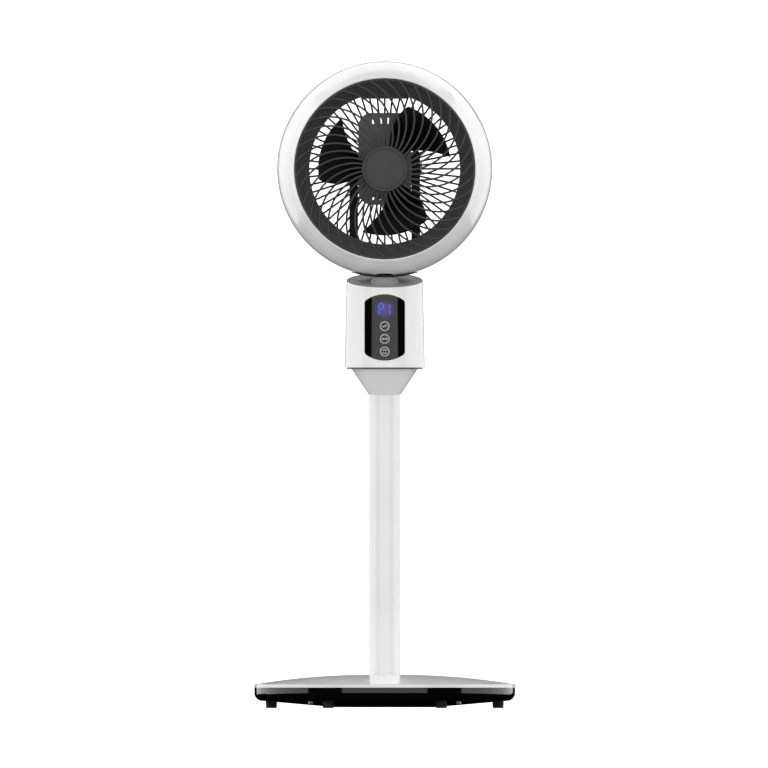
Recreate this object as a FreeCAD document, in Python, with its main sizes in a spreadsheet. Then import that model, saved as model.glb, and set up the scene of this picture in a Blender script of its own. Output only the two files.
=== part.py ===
import FreeCAD, Part
import math
import os
import re
import Sketcher

# Pedestal fan. Millimetres, +Z up, the fan blows towards -Y. The origin is on the
# floor under the middle of the round base.

Vector = FreeCAD.Vector
Rotation = FreeCAD.Rotation
doc = FreeCAD.newDocument("pedestal_fan")

# ---------------------------------------------------------------- driving sizes

DRIVING = {
    # round base
    "base_radius": 195.6, "base_corner": 12, "base_wall": 3, "base_skirt": 10.8,
    "base_rim": 30.8, "belly_radius": 73.5, "floor_gap": 1.2,
    "cover_band": 4.9, "cover_apex": 50, "cover_dome": 1000,
    "foot_ring": 170, "foot_radius": 8.5, "foot_height": 10.4, "foot_count": 6,
    "weight_radius": 145, "weight_level": 12, "weight_thickness": 6, "rib_ring": 141, "rib_width": 3,
    "screw_ring": 157, "screw_radius": 1.75, "screw_head": 3.5, "screw_head_height": 2.4,
    "screw_length": 20, "screw_count": 4, "boss_wall": 3.2, "screw_recess": 9.2,
    "bolt_radius": 4, "bolt_head": 7.5, "bolt_head_height": 5, "bolt_length": 20,
    "nut_height": 6.5, "bolt_clearance": 0.3,
    "inlet_level": 21.5, "inlet_radius": 5.5, "inlet_length": 15, "inlet_bore": 2.9,
    "inlet_depth": 9, "inlet_pin": 1, "inlet_sink": 0.5,
    # pole, its two spigots and the cone above it
    "pole_radius": 23.2, "pole_wall": 2, "pole_length": 482, "pole_insert": 34.3,
    "spigot_clearance": 0.2, "spigot_wall": 3, "spigot_length": 100,
    "flange_radius": 50, "flange_thickness": 5,
    "plug_length": 45, "plug_margin": 3, "plug_thickness": 3.5,
    "collar_height": 37.8, "collar_top": 49.6, "collar_wall": 2.5, "collar_lip": 1,
    "seam_height": 2.5, "seam_inset": 3,
    "floor_thickness": 3, "wire_bore": 10, "floor_screw_gap": 5.3, "floor_screw_head": 2.5,
    "floor_screw_count": 3,
    # control housing under the head
    "housing_bottom": 60, "housing_taper": 2.8, "housing_height": 130.5, "housing_wall": 3,
    "slant": 10.4, "neck_gap": 3.3, "dish_sink": 2, "dish_thickness": 3,
    "throat_radius": 46, "throat_lip": 17.5, "throat_gap": 2.2, "throat_drop": 19,
    "panel_half_width": 31, "panel_half_height": 50.6, "panel_rise": 10.6, "panel_level": 60,
    "panel_corner": 8,
    "panel_sink": 0.6, "panel_thickness": 2.5, "panel_clearance": 0.15,
    "button_radius": 7.4, "button_clearance": 0.3, "button_pitch": 19.1, "button_first": 62,
    "button_proud": 0.5, "button_depth": 11, "button_flange": 1.2,
    "button_lip": 1.6, "switch_size": 6, "switch_height": 2.2,
    "board_inset": 15, "board_thickness": 1.6, "board_half_width": 25, "board_bottom": 14,
    "board_height": 92, "digit_half_width": 13, "digit_height": 22, "digit_level": 75.5,
    "digit_depth": 6, "main_board_gap": 9.36, "main_board_depth": 52, "main_board_level": 12,
    "main_board_shift": 8,
    # swing drive in the housing
    "bridge_level": 93, "bridge_thickness": 4, "bridge_clearance": 0.2, "bearing_wall": 6,
    "bearing_height": 12, "bearing_sink": 5, "running_gap": 0.05,
    "gear_module": 1.25, "swing_gear_teeth": 40, "pinion_teeth": 14, "gear_width": 7,
    "swing_gear_level": 100, "swing_motor_gap": 0.75, "swing_motor_wall_gap": 7.25,
    "drive_motor_radius": 14, "drive_motor_length": 18, "drive_shaft": 2.5,
    "clip_wall": 4, "clip_height": 2, "clip_gap": 0.4, "stem_tail": 8,
    "tooth_root": 1.2, "tooth_tip": 0.9, "tooth_foot_half": 0.9, "tooth_tip_half": 0.25, "tooth_bury": 0.5,
    "shaft_gap": 1, "board_gap": 2, "bridge_inset": 4,
    # yoke
    "stem_radius": 13, "stem_bore": 8, "stem_clearance": 2, "fork_inside": 40, "fork_arm": 13,
    "fork_half_depth": 9, "fork_top": 21.5, "fork_bottom": 146, "fork_bar": 12, "fork_corner": 22,
    "pin_radius": 6, "pin_head": 9, "pin_head_width": 2.5, "pin_seat": 27.5, "pin_gap": 0.4,
    # ball-shaped head, measured from its centre; "front" counts forward from there
    "ball_radius": 161.4, "ball_wall": 3, "mouth_radius": 136, "ring_radius": 144,
    "seam_bevel": 0.5, "lip_wall": 3, "lip_foot": 4.2, "lip_out": 1.2, "lip_fall": 0.9, "lip_inside": 1.6,
    "slot_margin": 5, "slot_top": 25, "ring_foot": 4, "shell_seam": 41, "rear_radius": 126,
    "tilt_up": 30, "tilt_down": 8,
    "duct_radius": 113, "duct_rear": 30, "duct_wall": 2.5, "duct_flange": 2.5,
    "grille_rim_width": 3.1, "grille_rim_depth": 6, "grille_recess": 3.91, "grille_rise": 7,
    "grille_depth": 4, "rib_thickness": 2, "rib_count": 38, "rib_arc": 78, "rib_centre": 83.3,
    "grille_hub": 33.5, "cap_radius": 34.6, "cap_depth": 5, "fit_gap": 0.4,
    "hub_band": 12, "hub_extra": 1, "overrun": 1, "rib_bury": 2, "cap_clip_width": 2, "cap_clip_depth": 4,
    "cap_edge": 2, "rear_rim_depth": 2,
    "rear_rib_count": 60, "rear_rib_thickness": 1.8, "rear_depth": 3, "rear_rise": 8,
    "rear_rim_width": 4, "rear_lip": 1.5, "rear_plate": 46,
    "pocket_half_width": 34, "pocket_floor": 105, "pocket_front": 26, "pocket_rear": 64,
    "pocket_wall": 2.5,
    # motor pod between the yoke's arms
    "pod_half_width": 39.5, "pod_top": 84, "pod_bottom": 54, "pod_corner": 20, "pod_front": 24,
    "pod_wall": 2.5, "pod_plate": 3.5, "vent_width": 3, "vent_height": 9, "vent_pitch": 11.5,
    "vent_top": 72, "vent_low": 42, "vent_count": 4,
    "pod_screw_ring": 27, "pod_screw_length": 24, "pod_boss": 15, "pod_boss_wall": 2, "pin_boss": 9,
    "motor_radius": 26, "motor_front": 17, "motor_rear": 22, "can_wall": 2, "endcap_thickness": 4.5,
    "stator_radius": 22, "rotor_radius": 11.5, "air_gap": 0.5, "core_front": 12, "core_rear": 14,
    "shaft_radius": 3, "shaft_front": 67, "shaft_rear": 24, "bearing_outer": 8, "bearing_width": 5,
    "bearing_press": 0.5, "sleeve_inset": 6, "nose_gap": 2, "core_gap": 0.5,
    "sector_teeth": 58, "sector_width": 4.5, "sector_seat": 31, "sector_hub": 10,
    "sector_rear_teeth": 6, "sector_front_teeth": 3, "sector_lean": 45, "tilt_motor_offset": 8,
    # impeller
    "fan_radius": 100, "fan_rear": 33, "fan_front": 63, "fan_hub": 25, "fan_hub_rear": 34,
    "fan_hub_front": 60, "fan_hub_wall": 2.5, "blade_thickness": 2, "blade_count": 3,
    "nut_radius": 9, "nut_front": 69, "nut_round": 3, "hub_round": 4,
}

sheet = doc.addObject("Spreadsheet::Sheet", "sizes")
for row, (alias, number) in enumerate(DRIVING.items(), start=1):
    sheet.set(f"A{row}", alias)
    sheet.set(f"B{row}", str(number))
    sheet.setAlias(f"B{row}", alias)
doc.recompute()

ALIAS = re.compile(r"\b(" + "|".join(sorted(DRIVING, key=len, reverse=True)) + r")\b")


def formula(text):
    """The text as a FreeCAD expression: every size's name points at its cell."""
    return ALIAS.sub(r"sizes.\1", str(text))


def size(text):
    """The value of a formula in millimetres or degrees."""
    return float(sheet.evalExpression(formula(text)))


# ------------------------------------------------- levels that follow from them

WEIGHT_TOP = "(weight_level + weight_thickness)"
POLE_FOOT = f"({WEIGHT_TOP} + flange_thickness)"
POLE_TOP = f"({POLE_FOOT} + pole_length)"
COLLAR_FOOT = f"({POLE_TOP} - pole_insert)"
COLLAR_HEAD = f"({COLLAR_FOOT} + collar_height)"
HOUSING_FOOT = f"({COLLAR_HEAD} + seam_height)"
HOUSING_TOP = f"({HOUSING_FOOT} + housing_height)"
HEAD_LEVEL = f"({HOUSING_TOP} + (ball_radius + neck_gap) / cos(slant))"
POLE_BORE = "(pole_radius - pole_wall)"
SPIGOT = f"({POLE_BORE} - spigot_clearance)"
BALL_INSIDE = "(ball_radius - ball_wall)"
REAR_EDGE = "sqrt(ball_radius ^ 2 - rear_radius ^ 2)"
RING_EDGE = "sqrt(ball_radius ^ 2 - ring_radius ^ 2)"
MOUTH_EDGE = "sqrt(ball_radius ^ 2 - mouth_radius ^ 2)"
GRILLE_FRONT = f"({MOUTH_EDGE} - grille_recess)"
RING_FOOT = f"({RING_EDGE} + ring_foot)"
FLOOR_SCREW_RING = "(pole_radius + floor_screw_gap)"
PLUG_FLANGE = f"({FLOOR_SCREW_RING} + floor_screw_head + plug_margin)"
SWING_MOTOR_NEAR = "(stem_radius + bearing_wall + swing_motor_gap)"
SWING_MOTOR_FAR = ("(housing_bottom - housing_taper * bridge_level / housing_height - housing_wall"
                   " - swing_motor_wall_gap)")
SWING_MOTOR_RADIUS = f"(({SWING_MOTOR_FAR} - {SWING_MOTOR_NEAR}) / 2)"
SWING_DISTANCE = f"(({SWING_MOTOR_FAR} + {SWING_MOTOR_NEAR}) / 2)"
SWING_MODULE = f"(2 * {SWING_DISTANCE} / (swing_gear_teeth + pinion_teeth))"
SECTOR_DISTANCE = "(gear_module * (sector_teeth + pinion_teeth) / 2)"
POD_REAR = f"({REAR_EDGE} - rear_depth - fit_gap)"
REAR_INSIDE = f"(sqrt({BALL_INSIDE} ^ 2 - {REAR_EDGE} ^ 2) - fit_gap)"
FORK_OUTSIDE = "(fork_inside + fork_arm)"

# ------------------------------------------------------------ drawing functions

sub_parts = []


def keep(thing, label):
    """Name a finished sub-part and put it on the list that is written out."""
    thing.Label = label
    if thing.Label != label:
        raise RuntimeError(f"the name {label} is already taken")
    sub_parts.append(thing)
    return thing


HALF_TURN = "half"


def arc_radius(points, index):
    """Signed radius of the arc that leaves a point, or None where a line does."""
    if len(points[index]) < 3:
        return None
    if points[index][2] != HALF_TURN:
        return size(points[index][2])
    start, end = (Vector(size(point[0]), size(point[1]), 0)
                  for point in (points[index], points[(index + 1) % len(points)]))
    return start.distanceToPoint(end) / 2


def arc_centre(start, end, radius):
    """Centre of an arc; a positive radius turns left on the way from start to end."""
    chord = end - start
    middle = (start + end) * 0.5
    height = max(radius * radius - chord.Length ** 2 / 4, 0) ** 0.5
    left = Vector(-chord.y, chord.x, 0).normalize()
    return middle + left * (height if radius > 0 else -height)


def edge_between(sketch, start, end, radius):
    """Add a line, or an arc where a radius is given; return its index and its two ends."""
    if radius is None:
        return sketch.addGeometry(Part.LineSegment(start, end), False), 1, 2
    centre = arc_centre(start, end, radius)
    circle = Part.Circle(centre, Vector(0, 0, 1), abs(radius))
    first, last = (start, end) if radius > 0 else (end, start)
    arc = Part.ArcOfCircle(circle, circle.parameter(first), circle.parameter(last))
    index = sketch.addGeometry(arc, False)
    return (index, 1, 2) if radius > 0 else (index, 2, 1)


def pin_value(sketch, kind, geometry, end, text):
    """Hold one coordinate of a point on its formula."""
    if text == "0":
        axis = -2 if kind == "DistanceX" else -1
        sketch.addConstraint(Sketcher.Constraint("PointOnObject", geometry, end, axis))
        return
    constraint = Sketcher.Constraint(kind, -1, 1, geometry, end, size(text))
    number = sketch.addConstraint(constraint)
    sketch.setExpression(f"Constraints[{number}]", formula(text))


def draw_loop(sketch, points):
    """A closed outline; a point's third entry is the radius of the arc that leaves it, or a half turn."""
    places = [Vector(size(point[0]), size(point[1]), 0) for point in points]
    edges = []
    for index in range(len(points)):
        radius = arc_radius(points, index)
        edges.append(edge_between(sketch, places[index], places[(index + 1) % len(points)], radius))
    for index, (geometry, _, end) in enumerate(edges):
        following, start, _ = edges[(index + 1) % len(edges)]
        sketch.addConstraint(Sketcher.Constraint("Coincident", geometry, end, following, start))
    for (geometry, start, _), point in zip(edges, points):
        pin_value(sketch, "DistanceX", geometry, start, point[0])
        pin_value(sketch, "DistanceY", geometry, start, point[1])
        if len(point) > 2 and point[2] == HALF_TURN:
            sketch.addConstraint(Sketcher.Constraint("Symmetric", geometry, 1, geometry, 2, geometry, 3))
        elif len(point) > 2:
            number = sketch.addConstraint(Sketcher.Constraint("Radius", geometry, abs(size(point[2]))))
            sketch.setExpression(f"Constraints[{number}]", f"abs({formula(point[2])})")


def draw_circle(sketch, across, up, radius):
    """A full circle of the given radius round a point."""
    place = Vector(size(across), size(up), 0)
    circle = Part.Circle(place, Vector(0, 0, 1), size(radius))
    geometry = sketch.addGeometry(circle, False)
    pin_value(sketch, "DistanceX", geometry, 3, across)
    pin_value(sketch, "DistanceY", geometry, 3, up)
    number = sketch.addConstraint(Sketcher.Constraint("Radius", geometry, size(radius)))
    sketch.setExpression(f"Constraints[{number}]", formula(radius))


def new_body(label):
    """An empty body that may hold several solids."""
    body = doc.addObject("PartDesign::Body", "Body")
    body.Label = label
    body.AllowCompound = True
    return body


def new_sketch(body, plane, loops):
    """A sketch on one of the body's own planes; a loop of one triple is a circle."""
    sketch = body.newObject("Sketcher::SketchObject", "Sketch")
    plane_object = next(item for item in body.Origin.OriginFeatures if item.Role == plane)
    sketch.AttachmentSupport = [(plane_object, "")]
    sketch.MapMode = "FlatFace"
    for loop in loops:
        if isinstance(loop, tuple):
            draw_circle(sketch, *loop)
        else:
            draw_loop(sketch, loop)
    return sketch


def add_revolution(body, loops):
    """Turn outlines of (radius, height) a full circle round the body's Z axis."""
    sketch = new_sketch(body, "XZ_Plane", loops)
    feature = body.newObject("PartDesign::Revolution", "Revolution")
    feature.Profile = sketch
    feature.ReferenceAxis = (sketch, ["V_Axis"])
    feature.Angle = 360
    return feature


def add_pad(body, loops, length, plane="XY_Plane", both_ways=False):
    """Raise outlines from a plane of the body, or to both sides of it."""
    feature = body.newObject("PartDesign::Pad", "Pad")
    feature.Profile = new_sketch(body, plane, loops)
    feature.setExpression("Length", formula(length))
    feature.Midplane = both_ways
    return feature


def add_polar(body, feature, count, angle="360"):
    """Repeat a feature round the body's Z axis."""
    pattern = body.newObject("PartDesign::PolarPattern", "Polar")
    pattern.Originals = [feature]
    axis = next(item for item in body.Origin.OriginFeatures if item.Role == "Z_Axis")
    pattern.Axis = (axis, [""])
    pattern.setExpression("Occurrences", formula(count))
    pattern.setExpression("Angle", formula(angle))
    body.Tip = pattern
    return pattern


def place(thing, across="0", back="0", up="0", turn=None):
    """Put a thing at a point given by three formulas, turned by a fixed rotation."""
    point = Vector(size(across), size(back), size(up))
    thing.Placement = FreeCAD.Placement(point, turn or Rotation())
    for axis, text in zip("xyz", (across, back, up)):
        thing.setExpression(f"Placement.Base.{axis}", formula(text))
    return thing


def revolved(label, *loops):
    body = new_body(label)
    add_revolution(body, loops)
    return body


def prism(label, loops, length, plane="XY_Plane", both_ways=False):
    body = new_body(label)
    add_pad(body, loops, length, plane, both_ways)
    return body


def rectangle(left, right, low, high):
    return [(left, low), (right, low), (right, high), (left, high)]


def tube(inner, outer, low, high):
    """Outline of a ring that add_revolution turns into a tube."""
    return rectangle(inner, outer, low, high)


def joined(kind, label, things):
    """A MultiFuse or MultiCommon of several things."""
    result = doc.addObject(f"Part::{kind}", kind)
    result.Shapes = things
    result.Label = label
    return result


def cut(label, base, *tools):
    """The base with every tool taken out of it."""
    tool = tools[0] if len(tools) == 1 else joined("MultiFuse", f"{label}_tools", list(tools))
    result = doc.addObject("Part::Cut", "Cut")
    result.Base = base
    result.Tool = tool
    result.Label = label
    return result


FORWARD = Rotation(Vector(1, 0, 0), 90)
BACKWARD = Rotation(Vector(1, 0, 0), -90)
SIDEWAYS = Rotation(Vector(0, 1, 0), 90)


def in_head(thing):
    """Stand a thing in the head: its local Z points forward, its Y up, from the ball's centre."""
    return place(thing, up=HEAD_LEVEL, turn=FORWARD)


def in_housing(thing, level="0", back="0", turn=None):
    return place(thing, back=back, up=f"{HOUSING_FOOT} + {level}", turn=turn)


def screw_profile(radius, head, head_height, length):
    """Half section of a screw that points up: the head's underside is at level 0."""
    return [("0", f"-{head_height}"), (head, f"-{head_height}"), (head, "0"), (radius, "0"),
            (radius, length), ("0", length)]


def screw_ring(label, ring, count, length, radius="screw_radius", head="screw_head"):
    """Equal screws on a circle, all pointing up."""
    body = new_body(f"{label}_shanks")
    shank = add_pad(body, [(ring, "0", radius)], length)
    add_polar(body, shank, count)
    cap_body = new_body(f"{label}_heads")
    cap = add_pad(cap_body, [(ring, "0", head)], "screw_head_height")
    add_polar(cap_body, cap, count)
    place(cap_body, up="-screw_head_height")
    return joined("MultiFuse", f"{label}_group", [body, cap_body])


def ring_of_rods(label, ring, radius, count, length):
    body = new_body(label)
    rod = add_pad(body, [(ring, "0", radius)], length)
    add_polar(body, rod, count)
    return body


# ----------------------------------------------------------------------- base

SCREW_TURN = 45


def base_slope(radius):
    """Height of the shell's underside at a radius outside the flat belly."""
    run = "(base_radius - base_corner - belly_radius)"
    return f"(floor_gap + (base_skirt - floor_gap) * ({radius} - belly_radius) / {run})"


def make_base_shell():
    """Lower shell with the ring that carries the weight and seats for feet and screws."""
    body = new_body("base_shell_body")
    edge = "(base_radius - base_corner)"
    inner = "(base_radius - base_wall)"
    add_revolution(body, [[
        ("0", "floor_gap"), ("belly_radius", "floor_gap"), (edge, "base_skirt", "base_corner"),
        ("base_radius", "base_skirt + base_corner"), ("base_radius", "base_rim"), (inner, "base_rim"),
        (inner, "base_skirt + base_corner", "-(base_corner - base_wall)"),
        (edge, "base_skirt + base_wall"), ("belly_radius", "floor_gap + base_wall"),
        ("0", "floor_gap + base_wall")]])
    add_revolution(body, [tube("rib_ring - rib_width", "rib_ring", base_slope("rib_ring") + "+ overrun",
                               "weight_level")])
    feet = ring_of_rods("foot_seats", "foot_ring", "foot_radius", "foot_count", "foot_height")
    holes = ring_of_rods("screw_holes", "screw_ring", "screw_radius", "screw_count", "base_rim")
    turned = Rotation(Vector(0, 0, 1), SCREW_TURN)
    place(holes, turn=turned)
    seats = ring_of_rods("screw_seats", "screw_ring", "screw_head + bolt_clearance", "screw_count",
                         "screw_recess")
    place(seats, turn=turned)
    inlet = prism("inlet_hole", [("0", "inlet_level", "inlet_radius")], "inlet_length", "XZ_Plane")
    place(inlet, back="base_radius + overrun")
    keep(cut("base_shell", body, feet, holes, seats, inlet), "base_shell")


def make_base_feet():
    """Six rubber pads pushed into the shell's seats."""
    keep(ring_of_rods("base_feet", "foot_ring", "foot_radius", "foot_count", "foot_height"), "base_feet")


def make_base_cover():
    """Domed cover with four screw bosses and the hole that the pole passes."""
    body = new_body("base_cover_body")
    hole = "pole_radius + spigot_clearance"
    top = "base_rim + cover_band"
    add_revolution(body, [[
        (hole, "cover_apex - base_wall"), ("base_radius - base_wall", f"{top} - base_wall"),
        ("base_radius - base_wall", "base_rim"), ("base_radius", "base_rim"),
        ("base_radius", top, "cover_dome"), (hole, "cover_apex")]])
    bosses = ring_of_rods("cover_bosses", "screw_ring", "screw_radius + boss_wall", "screw_count",
                          "base_rim + cover_band - screw_recess - base_wall + overrun")
    turned = Rotation(Vector(0, 0, 1), SCREW_TURN)
    place(bosses, up="screw_recess + base_wall", turn=turned)
    holes = ring_of_rods("boss_holes", "screw_ring", "screw_radius", "screw_count", "screw_length")
    place(holes, up="screw_recess", turn=turned)
    keep(cut("base_cover", joined("MultiFuse", "base_cover_blank", [body, bosses]), holes), "base_cover")


def make_base_screws():
    """Screws through the shell's floor into the cover."""
    screws = screw_ring("base_screws", "screw_ring", "screw_count", "screw_length")
    place(screws, up="screw_recess", turn=Rotation(Vector(0, 0, 1), SCREW_TURN))
    keep(screws, "base_screws")


def make_base_weight():
    """Cast disc that keeps the fan from tipping."""
    loops = [("0", "0", "weight_radius"), ("0", "0", "bolt_radius + bolt_clearance")]
    keep(place(prism("base_weight", loops, "weight_thickness"), up="weight_level"), "base_weight")


def make_pole_socket():
    """Flanged spigot on the weight that the pole stands over."""
    top = "(flange_thickness + spigot_length)"
    socket = revolved("pole_socket", [
        ("bolt_radius", "0"), ("flange_radius", "0"), ("flange_radius", "flange_thickness"),
        (SPIGOT, "flange_thickness"), (SPIGOT, top), (f"{SPIGOT} - spigot_wall", top),
        (f"{SPIGOT} - spigot_wall", "flange_thickness"), ("bolt_radius", "flange_thickness")])
    keep(place(socket, up=WEIGHT_TOP), "pole_socket")


def make_pole_bolt():
    """Bolt up through the weight and the socket."""
    section = screw_profile("bolt_radius", "bolt_head", "bolt_head_height", "bolt_length")
    bolt = revolved("pole_bolt", section)
    keep(place(bolt, up="weight_level"), "pole_bolt")


def make_pole_nut():
    """Hexagon nut inside the socket."""
    corner = "(bolt_head - 0.5)"
    loop = []
    for index in range(6):
        angle = 60 * index + 30
        loop.append((f"{corner} / cos(30) * cos({angle})", f"{corner} / cos(30) * sin({angle})"))
    nut = prism("pole_nut", [loop, ("0", "0", "bolt_radius")], "nut_height")
    keep(place(nut, up=POLE_FOOT), "pole_nut")


def make_power_inlet():
    """Round low-voltage socket in the back of the base, with its centre pin."""
    body = new_body("power_inlet")
    back_wall = "(inlet_length - inlet_depth)"
    add_pad(body, [("0", "0", "inlet_radius")], back_wall)
    add_revolution(body, [tube("inlet_bore", "inlet_radius", back_wall, "inlet_length")])
    add_pad(body, [("0", "0", "inlet_pin")], "inlet_length - overrun")
    turn = Rotation(Vector(1, 0, 0), -90)
    place(body, back="base_radius - inlet_sink - inlet_length", up="inlet_level", turn=turn)
    keep(body, "power_inlet")


# ----------------------------------------------------------------------- pole

def make_pole_tube():
    loops = [("0", "0", "pole_radius"), ("0", "0", POLE_BORE)]
    keep(place(prism("pole_tube", loops, "pole_length"), up=POLE_FOOT), "pole_tube")


def make_pole_plug():
    """Plug in the pole's top; its flange carries the housing."""
    inner = f"({SPIGOT} - spigot_wall)"
    plug = revolved("plug_blank", [
        (inner, "-plug_length"), (SPIGOT, "-plug_length"), (SPIGOT, "0"), (PLUG_FLANGE, "0"),
        (PLUG_FLANGE, "plug_thickness"), (inner, "plug_thickness")])
    holes = ring_of_rods("plug_holes", FLOOR_SCREW_RING, "screw_radius", "floor_screw_count",
                         "plug_thickness")
    keep(place(cut("pole_plug", plug, holes), up=POLE_TOP), "pole_plug")


def make_pole_collar():
    """Hollow cone from the pole out to the housing."""
    bore = "(pole_radius + spigot_clearance)"
    foot = f"({bore} + collar_lip)"
    collar = revolved("pole_collar", [
        (bore, "0"), (foot, "0"), ("collar_top", "collar_height"),
        ("collar_top - collar_wall", "collar_height"), (bore, "collar_wall + collar_lip")])
    keep(place(collar, up=COLLAR_FOOT), "pole_collar")


def make_seam_ring():
    """Dark disc that shows as a line between the cone and the housing."""
    ring = prism("seam_disc", [("0", "0", "housing_bottom - seam_inset"), ("0", "0", "wire_bore")],
                 "seam_height")
    holes = ring_of_rods("seam_holes", FLOOR_SCREW_RING, "screw_radius", "floor_screw_count",
                         "seam_height")
    keep(place(cut("seam_ring", ring, holes), up=COLLAR_HEAD), "seam_ring")


def make_housing_floor():
    """Plate that closes the housing from below."""
    edge = "housing_bottom - housing_wall - bridge_clearance"
    plate = prism("floor_disc", [("0", "0", edge), ("0", "0", "wire_bore")], "floor_thickness")
    holes = ring_of_rods("floor_holes", FLOOR_SCREW_RING, "screw_radius", "floor_screw_count",
                         "floor_thickness")
    tapered = revolved("floor_taper", housing_section("housing_wall + bridge_clearance"))
    trimmed = joined("MultiCommon", "floor_trimmed", [plate, tapered])
    keep(in_housing(cut("housing_floor", trimmed, holes)), "housing_floor")


def make_floor_screws():
    """Screws through the plug's flange and the seam ring into the floor plate."""
    length = "(plug_thickness + seam_height + floor_thickness)"
    screws = screw_ring("floor_screws", FLOOR_SCREW_RING, "floor_screw_count", length,
                        head="floor_screw_head")
    keep(place(screws, up=POLE_TOP), "floor_screws")


# -------------------------------------------------------------------- housing

def housing_radius(level, inset="0"):
    """Radius of the tapered housing at a level above its foot, moved inwards."""
    return f"(housing_bottom - housing_taper * ({level}) / housing_height - ({inset}))"


HOUSING_REACH = "(housing_height + housing_bottom * tan(slant) + 5)"


def housing_section(inset):
    """Solid tapered outline, moved inwards, taller than the slanted top."""
    return [("0", "0"), (housing_radius("0", inset), "0"),
            (housing_radius(HOUSING_REACH, inset), HOUSING_REACH), ("0", HOUSING_REACH)]


def slanted_slab(label, depth, thickness):
    """Disc that leans like the housing's top; its lower face is that far under the top."""
    slab = prism(label, [("0", "0", "housing_bottom * 2")], thickness)
    lean = Rotation(Vector(1, 0, 0), size("slant"))
    place(slab, up=f"{HOUSING_TOP} - ({depth}) / cos(slant)", turn=lean)
    slab.setExpression("Placement.Rotation.Angle", formula("slant"))
    return slab


def panel_outline(grow):
    """Tall outline with straight sides, bowed ends and round corners: (across, level above the foot)."""
    side = f"(panel_half_width + ({grow}))"
    rise = f"(panel_rise + ({grow}))"
    bow = f"(({side} ^ 2 + {rise} ^ 2) / (2 * {rise}))"
    drop = f"({rise} + panel_half_height - panel_rise - {bow})"
    inset = f"({side} - panel_corner)"
    lean = f"sqrt(({bow} - panel_corner) ^ 2 - {inset} ^ 2)"
    across = f"({inset} * {bow} / ({bow} - panel_corner))"
    turn = f"({drop} + {lean})"
    bend = f"({drop} + {lean} * {bow} / ({bow} - panel_corner))"
    low = "panel_level - "
    high = "panel_level + "
    return [(f"-{across}", low + bend, bow), (across, low + bend, "panel_corner"), (side, low + turn),
            (side, high + turn, "panel_corner"), (across, high + bend, bow),
            (f"-{across}", high + bend, "panel_corner"), (f"-{side}", high + turn),
            (f"-{side}", low + turn, "panel_corner")]


def panel_block(label, grow):
    """The outline as a block that runs out through the housing's front."""
    block = prism(label, [panel_outline(grow)], "housing_bottom", "XZ_Plane")
    return in_housing(block)


def button_block(label, index, radius, length, front):
    """A rod on the button's axis; front is how far forward it starts from the axis."""
    level = f"button_first - {index} * button_pitch"
    rod = prism(label, [("0", level, radius)], length, "XZ_Plane")
    return in_housing(rod, back=f"-({front})")


def make_control_housing():
    """Tapered tube with a slanted top and the window for the panel."""
    outside = in_housing(revolved("housing_outside", housing_section("0")))
    inside = in_housing(revolved("housing_inside", housing_section("housing_wall")))
    above = slanted_slab("housing_above", "0", "housing_height")
    window = panel_block("housing_window", "panel_clearance")
    keep(cut("control_housing", outside, inside, above, window), "control_housing")


def make_neck_dish():
    """Slanted plate sunk in the housing's top; its flared throat hides the stem up to the ball."""
    fill = in_housing(revolved("dish_fill", housing_section("housing_wall + bridge_clearance")))
    slab = slanted_slab("dish_slab", "dish_sink + dish_thickness", "dish_thickness")
    flat = joined("MultiCommon", "dish_flat", [fill, slab])
    lip_top = "-sqrt((ball_radius + throat_gap) ^ 2 - throat_lip ^ 2)"
    foot = f"({lip_top} - throat_drop)"
    width = "(throat_radius - throat_lip)"
    sweep = f"(({width} ^ 2 + throat_drop ^ 2) / (2 * throat_drop))"
    hole = "(stem_radius + stem_clearance)"
    throat = place(revolved("dish_throat", [
        (hole, foot), ("throat_radius", foot, f"-{sweep}"), ("throat_lip", lip_top), (hole, lip_top)]),
        up=HEAD_LEVEL)
    below = slanted_slab("dish_below", "dish_sink + dish_thickness + housing_height", "housing_height")
    bore = in_housing(prism("dish_hole", [("0", "0", hole)], HOUSING_REACH))
    whole = joined("MultiFuse", "dish_blank", [flat, cut("throat_trimmed", throat, below)])
    keep(cut("neck_dish", whole, bore), "neck_dish")


def make_display_lens():
    """Glossy curved panel with three holes for the buttons."""
    outside = in_housing(revolved("lens_outside", housing_section("panel_sink")))
    inside = in_housing(revolved("lens_inside", housing_section("panel_sink + panel_thickness")))
    block = panel_block("lens_block", "0")
    holes = [button_block(f"lens_hole_{index}", index, "button_radius + button_clearance",
                          "housing_bottom", "0") for index in range(3)]
    blank = joined("MultiCommon", "lens_blank", [outside, block])
    keep(cut("display_lens", blank, inside, *holes), "display_lens")


BOARD_FACE = "(housing_bottom - board_inset)"


def make_display_board():
    """Upright circuit board behind the panel."""
    board = prism("display_board", [rectangle("-board_half_width", "board_half_width", "board_bottom",
                                              "board_bottom + board_height")], "board_thickness", "XZ_Plane")
    keep(in_housing(board, back=f"-({BOARD_FACE} - board_thickness)"), "display_board")


def make_digit_module():
    """Two-digit light module on the board."""
    block = prism("digit_module", [rectangle("-digit_half_width", "digit_half_width", "digit_level",
                                             "digit_level + digit_height")], "digit_depth", "XZ_Plane")
    keep(in_housing(block, back=f"-{BOARD_FACE}"), "digit_module")


def make_button_switches():
    """Three small push switches on the board, one behind each button."""
    blocks = []
    for index in range(3):
        level = f"(button_first - {index} * button_pitch)"
        half = "switch_size / 2"
        outline = rectangle(f"-{half}", half, f"{level} - {half}", f"{level} + {half}")
        block = prism(f"switch_{index}", [outline], "switch_height", "XZ_Plane")
        blocks.append(in_housing(block, back=f"-{BOARD_FACE}"))
    keep(joined("MultiFuse", "button_switches", blocks), "button_switches")


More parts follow.
